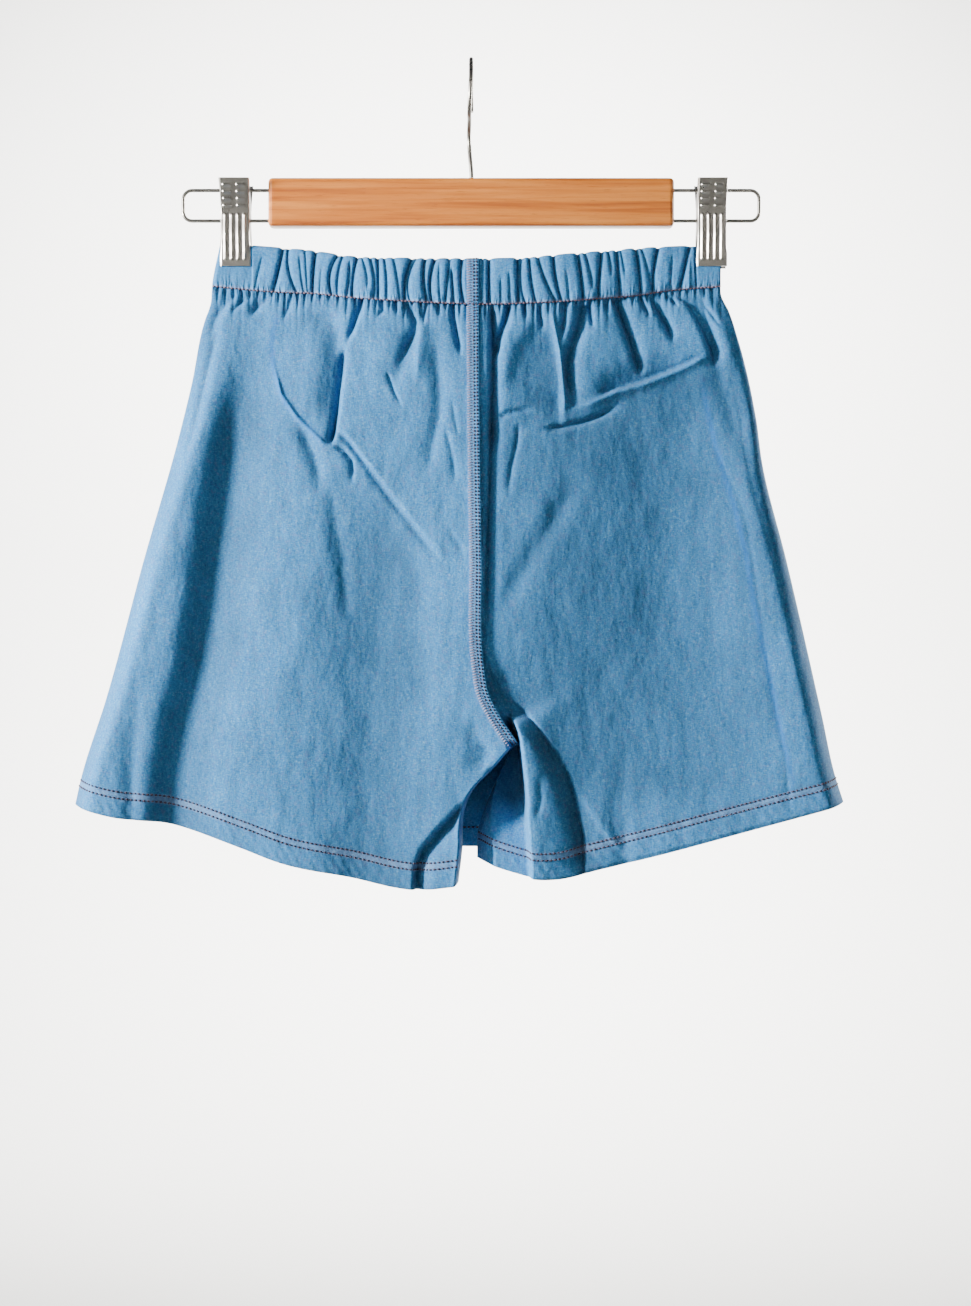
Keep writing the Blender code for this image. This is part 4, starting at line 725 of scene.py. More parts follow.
RIGHT_GATHERS = [
    Gather(7.3, 6.6, 6.4, 1.2), Gather(11, 11, 11.4, 2.7), Gather(18, 18.6, 18.6, 0.9, 0.6),
    Gather(23, 24, 24.4, 1, 0.5), Gather(28.8, 29.1, 29.6, 2.5), Gather(31.8, 31, 33.8, 1.5),
    Gather(36.4, 37.5, 40.1, 1.8, 0.1), Gather(41.7, 45.9, 52.6, 1.9), Gather(51.2, 52.7, 56.4, 2.3),
    Gather(58, 60, 61.4, 0.7, 0.5), Gather(66.4, 68.5, 70, 2.6), Gather(71.1, 74.8, 76.9, 1.5, 0, 0.6),
    Gather(81.6, 80.3, 79.5, 2.5), Gather(85.8, 88, 89, 1.3, 0, 0.35), Gather(91, 92.1, 93.2, 2.5),
    Gather(93.8, 96.3, 98, 1.1, 0, 0.4), Gather(103.1, 105.2, 106.3, 2.5),
    Gather(106.8, 111, 113, 1.2, 0, 0.8), Gather(117.3, 114.7, 114.2, 2.5), Gather(127, 126, 125, 1, 0.4),
    Gather(137.3, 134.1, 131, 2.4), Gather(141, 141, 141.5, 1.6)]
VALLEY_LEFT, VALLEY_RIGHT = 0.85, 1.6   # a gather's valley: the side away from the light is steeper
GATHER_RISE = 0.85           # how far the plump cloth between gathers stands out
GATHER_DEEPER = 1.3
CASING_WALL, CASING_HEIGHT, CASING_HALF = 3.2, 28.0, 158.0
WAIST_ROUND, WAIST_RADIUS, FOOT_RADIUS = 2.2, 3.2, 5.0   # how the casing thins to its fold and its foot
CASING_FROM, CASING_MIDDLE, CASING_TO, CASING_DEEPEST = 114.5, 130.0, 140.9, 154.0
GATHER_FLAT, GATHERS_TO = 137.5, 142.0  # the clips flatten gathers past the first and end them at the second
SEAM_HALF = 4.3
FRONT_GATHERS, FRONT_HALF = 38, 133.0
CASING_ACROSS, CASING_ROWS = 0.42, 27


def hidden_gathers():
    """The front's gathers aren't seen in the photograph: the same kind, with other spacings."""
    pitch = 2 * FRONT_HALF / (FRONT_GATHERS - 1)
    rows = []
    for i in range(FRONT_GATHERS):
        place = -FRONT_HALF + pitch * (i + 0.27 * math.sin(2.3 * i + 0.7))
        slant = 2.2 * math.sin(1.7 * i)
        rows.append(Gather(place, place + 0.3 * slant, place + slant, 1.6 + 0.9 * math.sin(3.1 * i)))
    return rows


def gather_relief(x, share, gathers):
    """Relief along one level of a casing: a crisp valley at each gather, plump cloth between them."""
    relief = np.full(x.shape, GATHER_RISE)
    for row in gathers:
        place = (row.top * (1 - share) * (1 - 2 * share) + row.middle * 4 * share * (1 - share)
                 + row.foot * share * (2 * share - 1))
        strength = ease((share - row.start) / 0.25 + 1) * ease((row.end - share) / 0.25 + 1)
        away = x - place
        width = np.where(away < 0, VALLEY_LEFT, VALLEY_RIGHT)
        relief -= GATHER_DEEPER * row.depth * strength * np.exp(-np.abs(away) / width)
    return relief


def casing_near(x, drop):
    """The inner surface of a casing: how far it stands off the middle plane."""
    return SEAM_GAP / 2 + back_depth(np.minimum(drop, CASING_DEEPEST)) * fullness(x, drop)


def casing_wall(share, foot_round):
    """A casing's thickness at a level. It rounds off to the fold at the waist and to the stitched foot."""
    below_fold = CASING_WALL - WAIST_ROUND * (1 - quarter_round(share * CASING_HEIGHT, WAIST_RADIUS))
    return below_fold - foot_round * (1 - quarter_round((1 - share) * CASING_HEIGHT, FOOT_RADIUS))


def casing_out(x, drop, share, gathers):
    """Outer surface of a casing at one level, which is a share of the way from waist to seam."""
    relief = gather_relief(x, share, gathers)
    relief = np.where(np.abs(x) > GATHER_FLAT, np.minimum(relief, 0.0), relief)
    relief = relief * (1 - ease((np.abs(x) - GATHERS_TO) / 3))
    if gathers is not front_gathers:
        relief = relief * ease((np.abs(x - seam_above(drop)) - SEAM_HALF + 0.6) / 1.6)
    wall_here = casing_wall(share, 1.3) - 0.6 * math.exp(-((1 - share) * CASING_HEIGHT)**2)
    side = quarter_round(np.minimum(x + CASING_HALF + 5 * share, CASING_HALF - x), EDGE_TURN)
    return casing_near(x, drop) + np.maximum(wall_here + relief, 0.5) * (0.25 + 0.75 * side), relief


front_gathers = hidden_gathers()


def casing(name, gathers, edges, facing, node, slot):
    left_edge, right_edge = edges
    width = right_edge(CASING_MIDDLE) - left_edge(CASING_MIDDLE)
    columns = 2 * round(float(width) / CASING_ACROSS / 2) + 1
    x, drop, out, relief = np.zeros((4, CASING_ROWS, columns))
    for r, share in enumerate(0.5 - 0.5 * np.cos(np.linspace(0, math.pi, CASING_ROWS))):
        ends = []
        for edge in edges:
            level = CASING_FROM + (CASING_TO - CASING_FROM) * share
            for _ in range(3):
                place = float(edge(level))
                level = float(waist_drop(place) + (casing_drop(place) - waist_drop(place)) * share)
            ends.append(float(edge(level)))
        x[r] = np.linspace(ends[0], ends[1], columns)
        upper = waist_drop(x[r])
        drop[r] = upper + (casing_drop(x[r]) - upper) * share
        out[r], relief[r] = casing_out(x[r], drop[r], share, gathers)
        drop[r] -= 0.35 * relief[r] * (1 - share)**8
    inner = at(x, drop, facing * casing_near(x, drop))[::2, ::2]
    from_foot = casing_drop(x) - drop
    # The relief mark paints shade into the gathers' valleys and pales their plump tops a little, as wear.
    marks = {"relief": np.clip(relief / 1.7, -1, 0.12),
             "stitched": 0.5 * np.exp(-(from_foot / 0.9)**2), "drawn": np.exp(-from_foot / DRAWN_ABOVE)}
    return dress(cloth_wall(name, at(x, drop, facing * out), inner, denim_cloth, marks), slot, node)


casing_left = casing("waist_back_left", LEFT_GATHERS, (left_side, left_inner), -1,
                     "back_casing_left", "denim_back")
casing_right = casing("waist_back_right", RIGHT_GATHERS, (right_inner, right_side), -1,
                      "back_casing_right", "denim_back")
casing_front = casing("waist_front", front_gathers, (left_side, right_side), 1,
                      "front_casing", "denim_front")

# Centre-back seam
# The two backs are lapped and chain-stitched through the casing down to the crotch. The lap's folded
# edge is on the right, and its stitching shows as a ladder of pale ticks beside two darker rows.
SEAM_FROM, SEAM_TO, SEAM_STEPS, SEAM_SUNK = 124.8, 430.5, 261, 0.5
SEAM_ACROSS = [-4.3, -4.1, -3.6, -3.0, -2.4, -1.6, -0.8, 0.0, 0.7, 1.4, 2.0, 2.6, 3.1, 3.4, 3.6]
# These only darken the cloth's colour in the seam's ditches, as painted shade; the dips themselves are shaped
# in seam_out.
SEAM_DITCH_SHADE = [(0.2, 0.8), (2.1, 0.8), (3.6, 1.2)]     # the two rows of stitching, the lap's edge


def seam_base(x, drop):
    """The cloth that the seam lies on: the casing above the casing seam, the backs below it."""
    share = np.clip((drop - waist_drop(x)) / (casing_drop(x) - waist_drop(x)), 0, 1)
    on_casing = casing_near(x, drop) + casing_wall(share, 1.5)
    on_left = back_out(np.minimum(x, left_inner(drop)), drop, left_leg)
    on_right = back_out(np.maximum(x, right_inner(drop)), drop, right_leg)
    on_back = np.where(x < seam_above(drop), on_left, np.maximum(on_left, on_right))
    return np.where(drop < casing_drop(x), on_casing, on_back)


def seam_place(drop, across):
    """A point of the seam: its middle line at a drop, moved square to the line."""
    slope = (seam_above(drop + 1.0) - seam_above(drop - 1.0)) / 2
    length = np.hypot(slope, 1)
    return seam_above(drop) + across / length, drop - across * slope / length


def seam_out(x, drop, across):
    smooth_base = (seam_base(x, drop) + seam_base(x - 1.5, drop) + seam_base(x + 1.5, drop)) / 3
    lap = 0.45 + 0.65 * ease((across + 1.5) / 4)
    ladder = 0.12 * np.sin(2 * math.pi * drop / 2.6) * np.exp(-((across + 3.1) / 1.4)**2)
    dip = 0.22 * np.exp(-((across - 0.3) / 0.5)**2) + 0.22 * np.exp(-((across - 1.6) / 0.5)**2)
    return smooth_base + lap + ladder - dip


def centre_seam():
    levels, across = np.meshgrid(np.linspace(SEAM_FROM, SEAM_TO, SEAM_STEPS), SEAM_ACROSS, indexing="ij")
    x, drop = seam_place(levels, across)
    # Painted shade in the ditches beside the stitch rows and at the lap's edge.
    ditches = sum(deep * np.exp(-((across - place) / 0.5)**2) for place, deep in SEAM_DITCH_SHADE)
    marks = {"relief": -ditches, "stitched": 0.03 + 0.17 * ease((0.2 - across) / 0.8)}
    outer = at(x, drop, -seam_out(x, drop, across))
    inner = at(x, drop, SEAM_SUNK - seam_base(x, drop))[::2, ::2]
    wall = cloth_wall("lapped_centre_seam", outer, inner, denim_cloth, marks)
    return dress(wall, "denim_seam", "back_seam")


lapped_seam = centre_seam()

# Fronts and skirt panel
# The short legs' fronts hang hidden behind the backs. Over them lies the skirt panel, sewn in at the
# side seams and under the front casing, falling in soft folds to a hem of its own.
FRONT_CLOTH, SKIRT_CLOTH = 1.2, 1.3
FRONT_DEPTH = [(116, 6.5), (154, 6.5), (250, 6), (430, 5), (520, 7)]
SKIRT_DEPTH = [(116, 7.4), (154, 7.8), (200, 10.5), (300, 14), (400, 17), (520, 20)]
SKIRT_HEM = [(-248.2, 466.2), (-200, 477.5), (-153, 489.6), (-76, 494.5), (0, 495.8), (82, 494),
             (155, 483.4), (193, 473.5), (233.6, 464.4)]
FRONT_HEM_RISE, FRONT_TURN = 5.0, 16.0
LAYER_CLEAR = 1.0
SKIRT_ROWS, SKIRT_COLUMNS = 211, 361
SKIRT_FOLDS = [
    Fold("fall 1", 5.4, 7, 12, 0.06, 0, [(-120, 150), (-130, 200), (-138, 260), (-160, 380), (-176, 490)]),
    Fold("fall 2", 3.4, 4, 7, 0.06, 0.4, [(-72, 153), (-77, 200), (-80, 250), (-86, 350)]),
    Fold("fall 3", 5, 12, 8, 0.08, 0, [(-30, 157), (-33, 220), (-38, 290), (-52, 400), (-60, 500)]),
    Fold("fall 4", 3.4, 6, 4, 0.06, 0.4, [(14, 156), (15, 200), (17, 250), (24, 360)]),
    Fold("fall 5", 5.2, 9, 12, 0.08, 0, [(60, 154), (68, 220), (77, 290), (92, 400), (104, 500)]),
    Fold("fall 6", 4.4, 12, 7, 0.06, 0, [(118, 148), (128, 210), (140, 280), (160, 390), (174, 490)]),
    Fold("slant over the hip", 2.6, 3, 1.4, 0.15, 0.35, [(-140, 176), (-118, 190), (-92, 200),
         (-66, 203)], step=1),
    Fold("slant from the other hip", 2.6, 1.4, 3, 0.15, 0.35, [(146, 182), (120, 200), (96, 222),
         (70, 236)], step=-1),
    Fold("pressed crease", -0.9, 2, 3, 0.1, 0.1, [(-96, 210), (-112, 300), (-128, 400), (-138, 470)]),
    Fold("gather end 1", 3.6, 2, 1.6, 0.06, 0.45, [(-104, 148), (-100, 164), (-103, 186)]),
    Fold("gather end 2", 2.8, 1.8, 1.5, 0.06, 0.5, [(-88, 150), (-86, 170)]),
    Fold("gather end 3", 3.8, 1.6, 2.2, 0.06, 0.45, [(-54, 151), (-50, 168), (-56, 192)]),
    Fold("gather end 4", 2.4, 1.6, 1.4, 0.06, 0.5, [(-14, 153), (-12, 172)]),
    Fold("gather end 5", 3.6, 1.6, 2.2, 0.06, 0.45, [(2, 154), (-2, 176), (-6, 204)]),
    Fold("gather end 6", 3, 1.8, 1.4, 0.06, 0.45, [(36, 153), (40, 176)]),
    Fold("gather end 7", 2.8, 1.4, 1.8, 0.06, 0.45, [(82, 150), (80, 170)]),
    Fold("gather end 8", 3.6, 1.7, 2.4, 0.06, 0.45, [(100, 148), (104, 168), (112, 188)]),
    Fold("long soft fall 1", 2, 10, 12, 0.3, 0, [(-206, 330), (-214, 400), (-222, 466)]),
    Fold("long soft fall 2", 2, 12, 9, 0.3, 0, [(10, 330), (14, 420), (22, 500)]),
    Fold("long soft fall 3", 1.8, 9, 12, 0.3, 0, [(190, 330), (200, 400), (208, 470)])]
front_depth = smooth_curve(FRONT_DEPTH)
skirt_depth = smooth_curve(SKIRT_DEPTH)
skirt_hem = smooth_curve(SKIRT_HEM)
skirt_ends = ends_of(SKIRT_HEM)


def skirt_near(x, drop):
    """The skirt's inner surface, clear of the fronts and drawn to the back at the side seams."""
    full = fullness(x, drop)
    side = from_sides(x, drop)
    clear = SEAM_GAP / 2 + (SEAM_GAP + FRONT_CLOTH) * ease((side - 2.5) / 5)
    folds = (fold_relief(x, drop, SKIRT_FOLDS) + slight_waves(x + 300, drop)) * ease(side / 12)
    return clear + np.maximum(skirt_depth(drop) * full + folds, (front_depth(drop) + LAYER_CLEAR) * full)


def skirt_out(x, drop):
    side = from_sides(x, drop)
    below = drop - casing_drop(x) - SEAM_GAP
    drawn = 0.7 * short_gathers(x + 200, below) - 0.7 * np.exp(-(below / 1.2)**2)
    drawn = (drawn + hem_relief(skirt_hem(x) - drop, x)) * ease(side / 4)
    wall_here = SKIRT_CLOTH * (0.15 + 0.85 * quarter_round(side, EDGE_TURN))
    return skirt_near(x, drop) + np.maximum(wall_here + drawn, THINNEST)


def hidden_front(leg, name, node):
    """A hidden front: it follows its solid, and ends just short of the side seam, in the seam's turn."""
    x, drop = leg_grid(leg, HIDDEN_STEPS, FRONT_HEM_RISE, short_of_side=2.2)
    inseam = to_inseam(x, drop, leg.inner, FRONT_TURN)
    body = front_depth(drop) * fullness(x, drop) * (1 - inseam)
    near = SEAM_GAP / 2 + body - inseam_depth(drop) * inseam
    return dress(cloth_wall(name, at(x, drop, near + FRONT_CLOTH), at(x, drop, near)[::2, ::2],
                            denim_cloth), "denim_front", node)


front_left = hidden_front(left_leg, "leg_front_left", "front_panel_left")
front_right = hidden_front(right_leg, "leg_front_right", "front_panel_right")


def skirt_panel():
    down = np.linspace(0, 1, SKIRT_ROWS)[:, None]
    across = np.linspace(0, 1, SKIRT_COLUMNS)[None, :]
    x_top = left_side(PANEL_TOP) + across * (right_side(PANEL_TOP) - left_side(PANEL_TOP))
    x_hem = skirt_ends[0] + across * (skirt_ends[1] - skirt_ends[0])
    top = casing_drop(x_top) + SEAM_GAP
    drop = top + (skirt_hem(x_hem) - top) * down
    x = left_side(drop) + across * (right_side(drop) - left_side(drop))
    near = skirt_near(x, drop)
    out = skirt_out(x, drop)
    plain = skirt_depth(drop) * fullness(x, drop)
    # Relief: paler on the skirt's raised folds, as wear, and painted darker in its valleys as shade.
    marks = {"relief": np.clip((near - plain - SEAM_GAP * 1.5 - FRONT_CLOTH) / 4, -1, 1),
             "stitched": hem_tint(skirt_hem(x) - drop),
             "drawn": np.exp(-(drop - casing_drop(x)) / DRAWN_BELOW)}
    inner = at(x, drop, np.minimum(near, lowest_near(out) - THINNEST))[::2, ::2]
    return dress(cloth_wall("skirt_panel", at(x, drop, out), inner, denim_cloth, marks),
                 "denim_front", "skirt_front")


skirt = skirt_panel()

# Stitching
# Two-tone cotton thread, plum and pale lilac, in twin rows round every hem, one row under the casing
# and a ladder down the centre seam. Each stitch is one small rounded grain lying on the cloth.
Stitch = namedtuple("Stitch", "pitch long thread")
HEM_STITCH, CASING_STITCH = Stitch(2.7, 2.15, 1.25), Stitch(2.3, 1.9, 1.05)
SEAM_STITCH, TICK = Stitch(2.2, 1.6, 1.15), Stitch(1.7, 3.2, 0.85)
LIFT, SEAM_LIFT, TICK_LIFT = 0.3, 0.35, 0.25             # the thread's middle stands off the cloth
SEAM_ROWS, TICK_ROW, CASING_FOOT = (0.2, 2.1), -2.6, 1.15
SEAM_SEWN, CASING_SEWN = (125.6, 429.0), (-162.0, 156.5)
HEM_SHORT, SIDE_CLEAR, INSEAM_CLEAR = 1.5, 1.0, 0.8      # where a hem's rows stop short of its edges
PLUM, BROWN, LILAC = "#312B46", "#6B5463", "#7C7797"


def stitch_tree(name, long_axis):
    """Stitches along a line of edges: the axis that follows the line is X, or Y for ticks across it."""
    tree = bpy.data.node_groups.new(name, "GeometryNodeTree")
    face = tree.interface
    face.new_socket("Geometry", in_out="INPUT", socket_type="NodeSocketGeometry")
    for label, value in zip(("Pitch", "Length", "Thread"), HEM_STITCH):
        socket = face.new_socket(label, in_out="INPUT", socket_type="NodeSocketFloat")
        socket.default_value = value * MM
    face.new_socket("Finish", in_out="INPUT", socket_type="NodeSocketMaterial")
    face.new_socket("Geometry", in_out="OUTPUT", socket_type="NodeSocketGeometry")
    given = add_node(tree, "NodeGroupInput")
    line = add_node(tree, "GeometryNodeMeshToCurve", links={"Mesh": (given, "Geometry")})
    spaced = add_node(tree, "GeometryNodeResampleCurve", {"mode": "LENGTH"},
                      {"Curve": (line, "Curve"), "Length": (given, "Pitch")})
    way = add_node(tree, "GeometryNodeInputTangent")
    turned = add_node(tree, "FunctionNodeAlignRotationToVector", {"axis": long_axis},
                      {"Vector": (way, "Tangent")})
    jitter = add_node(tree, "FunctionNodeRandomValue", {"data_type": "FLOAT_VECTOR", 0: (0.82, 0.85, 0.85),
                                                        1: (1.12, 1.15, 1.15), "Seed": 7})
    grain = add_node(tree, "GeometryNodeMeshUVSphere", {"Segments": 6, "Rings": 4, "Radius": 0.5})
    size = add_node(tree, "ShaderNodeCombineXYZ", links={"X": (given, "Length"), "Y": (given, "Thread"),
                                                         "Z": (given, "Thread")})
    shaped = add_node(tree, "GeometryNodeTransform", links={"Geometry": (grain, "Mesh"),
                                                            "Scale": (size, "Vector")})
    placed = add_node(tree, "GeometryNodeInstanceOnPoints", links={
        "Points": (spaced, "Curve"), "Instance": (shaped, "Geometry"), "Rotation": (turned, "Rotation"),
        "Scale": (jitter, "Value")})
    real = add_node(tree, "GeometryNodeRealizeInstances", links={"Geometry": (placed, "Instances")})
    painted = add_node(tree, "GeometryNodeSetMaterial", links={"Geometry": (real, "Geometry"),
                                                               "Material": (given, "Finish")})
    add_node(tree, "NodeGroupOutput", links={"Geometry": (painted, "Geometry")})
    return tree


def thread_finish(name, colour):
    """Spun cotton thread: matt, with a faint twist that breaks its colour."""
    material, tree = new_material(name)
    place = add_node(tree, "ShaderNodeTexCoord")
    noise = add_node(tree, "ShaderNodeTexNoise", {"Scale": 900.0, "Detail": 2.0},
                     {"Vector": (place, "Object")})
    tone = add_node(tree, "ShaderNodeMapRange", {"To Min": 0.75, "To Max": 1.25}, {"Value": (noise, "Fac")})
    twist = add_node(tree, "ShaderNodeHueSaturation", {"Color": to_linear(colour)},
                     {"Value": (tone, "Result")})
    finish_surface(tree, add_node(tree, "ShaderNodeBsdfPrincipled", {"Roughness": 0.7, "Sheen Weight": 0.2},
                                  {"Base Color": (twist, "Color")}))
    return material


along_tree = stitch_tree("stitches_along", "X")
across_tree = stitch_tree("ticks_across", "Y")
plum_thread = thread_finish("plum_cotton_thread", PLUM)
brown_thread = thread_finish("brown_cotton_thread", BROWN)
lilac_thread = thread_finish("lilac_cotton_thread", LILAC)


def as_mesh(guide, name):
    """The mesh that a guide's nodes or bevel make. The guide itself goes."""
    mesh = bpy.data.meshes.new_from_object(guide.evaluated_get(bpy.context.evaluated_depsgraph_get()))
    mesh.name = name
    mesh.shade_smooth()
    bpy.data.objects.remove(guide, do_unlink=True)
    return mesh


def sew(name, routes, tree, sizes, thread):
    """Stitches along routes, which are lists of points in millimetres, as one mesh."""
    points = []
    edges = []
    for route in routes:
        first = len(points)
        points.extend((np.array(route) * MM).tolist())
        edges.extend((first + k, first + k + 1) for k in range(len(route) - 1))
    guide_mesh = bpy.data.meshes.new(name + "_line")
    guide_mesh.from_pydata(points, edges, [])
    guide = add_object(name + "_line", guide_mesh)
    nodes = guide.modifiers.new("stitches", "NODES")
    nodes.node_group = tree
    inputs = {item.name: item.identifier for item in tree.interface.items_tree if item.in_out == "INPUT"}
    for label, value in zip(("Pitch", "Length", "Thread"), sizes):
        nodes[inputs[label]] = value * MM
    nodes[inputs["Finish"]] = thread
    return dress(add_object(name, as_mesh(guide, name)), "denim_seam")


def hem_route(leg, above, lift):
    """A line along a leg's hem, on the outside of the cloth."""
    x = np.linspace(leg.hem_ends[0] + HEM_SHORT, leg.hem_ends[1] - HEM_SHORT, 200)
    drop = leg.hem(x) - above
    from_inseam = (x - leg.inner(drop)) * (1 if leg.seam_first else -1)
    keep = (from_sides(x, drop) > SIDE_CLEAR) & (from_inseam > INSEAM_CLEAR)
    return at(x[keep], drop[keep], -(back_out(x[keep], drop[keep], leg) + lift))


def skirt_route(above, lift, surface):
    x = np.linspace(skirt_ends[0] + HEM_SHORT, skirt_ends[1] - HEM_SHORT, 400)
    drop = skirt_hem(x) - above
    keep = from_sides(x, drop) > SIDE_CLEAR
    return at(x[keep], drop[keep], surface(x[keep], drop[keep]) + lift)


def casing_route(facing, lift):
    x = np.linspace(*CASING_SEWN, 640)
    drop = casing_drop(x) + 0.1
    return at(x, drop, facing * (casing_near(x, drop) + CASING_FOOT + lift))


def seam_route(across, lift):
    drop = np.linspace(*SEAM_SEWN, 400)
    x, level = seam_place(drop, across * np.ones_like(drop))
    return at(x, level, -(seam_out(x, level, across * np.ones_like(x)) + lift))


hem_thread_left = sew("hem_stitches_left", [hem_route(left_leg, row, LIFT) for row in HEM_ROWS],
                      along_tree, HEM_STITCH, plum_thread)
hem_thread_right = sew("hem_stitches_right", [hem_route(right_leg, row, LIFT) for row in HEM_ROWS],
                       along_tree, HEM_STITCH, plum_thread)
skirt_thread = sew("hem_stitches_skirt", [skirt_route(row, LIFT, skirt_out) for row in HEM_ROWS]
                   + [skirt_route(HEM_ROWS[0], -LIFT, skirt_near)], along_tree, HEM_STITCH, plum_thread)
casing_thread_back, casing_thread_front = (
    sew(f"casing_stitches_{side}", [casing_route(facing, LIFT)], along_tree, CASING_STITCH, brown_thread)
    for side, facing in (("back", -1), ("front", 1)))
seam_ticks = sew("seam_ladder", [seam_route(TICK_ROW, TICK_LIFT)], across_tree, TICK, lilac_thread)
seam_rows = sew("seam_rows", [seam_route(row, SEAM_LIFT) for row in SEAM_ROWS], along_tree, SEAM_STITCH,
                plum_thread)

# Wooden bar
# A straight beech bar, rounded at its edges and clear-varnished to an orange tan. Grain runs along it
# in fine uneven streaks. The solid's own shape is right, so it only gets its finish.
WOOD = {"pale": "#D98634", "body": "#C56E20", "grain": "#A65317", "fleck": "#88400F"}
GRAIN_SIZE, FLECK_SIZE = (90.0, 4.0, 3.2), (9.0, 1.0, 0.45)


def varnished_wood():
    material, tree = new_material("varnished_beech")
    place = add_node(tree, "ShaderNodeTexCoord")
    grain = stretched_noise(tree, place, GRAIN_SIZE, {"Detail": 5.0, "Distortion": 0.4})
    fleck = stretched_noise(tree, place, FLECK_SIZE, {"Detail": 2.0, "Distortion": 0.4})
    growth = add_node(tree, "ShaderNodeValToRGB", links={"Fac": (grain, "Fac")})
    set_stops(growth.color_ramp, [(0.30, WOOD["grain"]), (0.46, WOOD["body"]), (0.68, WOOD["pale"])])
    flecks = add_node(tree, "ShaderNodeMapRange", {"From Min": 0.60, "From Max": 0.74, "To Max": 0.55},
                      {"Value": (fleck, "Fac")})
    wood = add_node(tree, "ShaderNodeMix", {"data_type": "RGBA", "B": to_linear(WOOD["fleck"])},
                    {"Factor": (flecks, "Result"), "A": (growth, "Color")})
    # The bar is painted darker towards its right end, away from the daylight: painted shade.
    apart = add_node(tree, "ShaderNodeSeparateXYZ", links={"Vector": (place, "Object")})
    right_end_shade = add_node(tree, "ShaderNodeMapRange", {"From Min": -0.05, "From Max": 0.17, "To Min": 1.0,
                                                       "To Max": 0.8}, {"Value": (apart, "X")})
    shaded_wood = add_node(tree, "ShaderNodeHueSaturation", links={"Value": (right_end_shade, "Result"),
                                                            "Color": (wood, "Result")})
    bump = add_node(tree, "ShaderNodeBump", {"Strength": 0.12, "Distance": 0.2 * MM},
                    {"Height": (grain, "Fac")})
    finish_surface(tree, add_node(tree, "ShaderNodeBsdfPrincipled", {
        "Roughness": 0.42, "Coat Weight": 0.35, "Coat Roughness": 0.22},
        {"Base Color": (shaded_wood, "Color"), "Normal": (bump, "Normal")}))
    return material


bar = bpy.data.objects["hanger_bar"]
bar.data.materials.clear()
bar.data.materials.append(varnished_wood())

# Hook and wire loops
# Bright chromed steel wire: a hook of 2.6 mm wire that turns over what holds it, and a 2.2 mm loop
# out of each end of the bar, on which a clip slides.
HOOK_WIRE, HOOK_ROUND = 1.3, 22.0
LOOP_WIRE, LOOP_TOP, LOOP_FOOT = 1.1, 80.6, 99.8
LOOP_START, LOOP_END, LOOP_CORNER = 115.5, 181.4, 5.5
WIRE_SIDES = 5               # bevel resolution, 14 sides
STEM = [(0, 0, -87.4), (0, 0, -79), (0.2, 0, -71.5), (-0.5, 0.8, -62), (-1, 1.8, -56), (-1.3, 2.2, -51),
        (-1.4, 1, -46.5), (-1.3, -3, -42.2), (-1.1, -9, -38.8)]
# Both chrome tones are darker than bare chrome, the wire's the most: painted shade, standing in for the dark
# surroundings the metal reflects.
CHROME = {"bright": "#A5A29D", "shade": "#9C9993"}


def chrome(name, tone, roughness):
    """Chromed steel, polished then handled: fine smudges change its gloss."""
    material, tree = new_material(name)
    place = add_node(tree, "ShaderNodeTexCoord")
    smudge = add_node(tree, "ShaderNodeTexNoise", {"Scale": 240.0, "Detail": 4.0},
                      {"Vector": (place, "Object")})
    gloss = add_node(tree, "ShaderNodeMapRange", {"From Min": 0.3, "From Max": 0.7, "To Min": roughness * 0.9,
                                                  "To Max": roughness * 1.2}, {"Value": (smudge, "Fac")})
    finish_surface(tree, add_node(tree, "ShaderNodeBsdfPrincipled", {
        "Base Color": to_linear(tone), "Metallic": 1.0}, {"Roughness": (gloss, "Result")}))
    return material


wire_chrome = chrome("chromed_wire", CHROME["shade"], 0.28)
plate_chrome = chrome("chromed_plate", CHROME["bright"], 0.3)


def smooth_route(points, spacing):
    """The points of a route, evenly spaced along one smooth curve through it."""
    route = np.array(points, float)
    run = np.concatenate([[0], np.cumsum(np.linalg.norm(route[1:] - route[:-1], axis=1))])
    at_run = np.linspace(0, run[-1], int(run[-1] / spacing) + 2)
    return np.stack([smooth_curve(list(zip(run, route[:, k])))(at_run) for k in range(3)], axis=-1)


def wire(name, points, radius, node):
    curve = bpy.data.curves.new(name + "_line", "CURVE")
    curve.dimensions = "3D"
    curve.bevel_depth = radius * MM
    curve.bevel_resolution = WIRE_SIDES
    curve.use_fill_caps = True
    spline = curve.splines.new("POLY")
    spline.points.add(len(points) - 1)
    for point, (px, py, pz) in zip(spline.points, points):
        point.co = (px * MM, py * MM, pz * MM, 1)
    mesh = as_mesh(add_object(name + "_line", curve), name)
    shape = bmesh.new()
    shape.from_mesh(mesh)
    bmesh.ops.remove_doubles(shape, verts=shape.verts, dist=1e-5)
    bmesh.ops.recalc_face_normals(shape, faces=shape.faces)
    shape.to_mesh(mesh)
    shape.free()
    mesh.set_sharp_from_angle(angle=math.radians(50))
    mesh.materials.append(wire_chrome)
    dress(add_object(name, mesh), "wire", node)


bow = [(-1.1 * (1 - min(k / 10, 1)), HOOK_ROUND * math.cos(a), HOOK_WIRE - HOOK_ROUND * (1 - math.sin(a)))
       for k, a in enumerate(np.radians(np.arange(222, -13, -6)))]
wire("wire_hook", smooth_route(STEM + bow, 1.3), HOOK_WIRE, "hanger_hook")


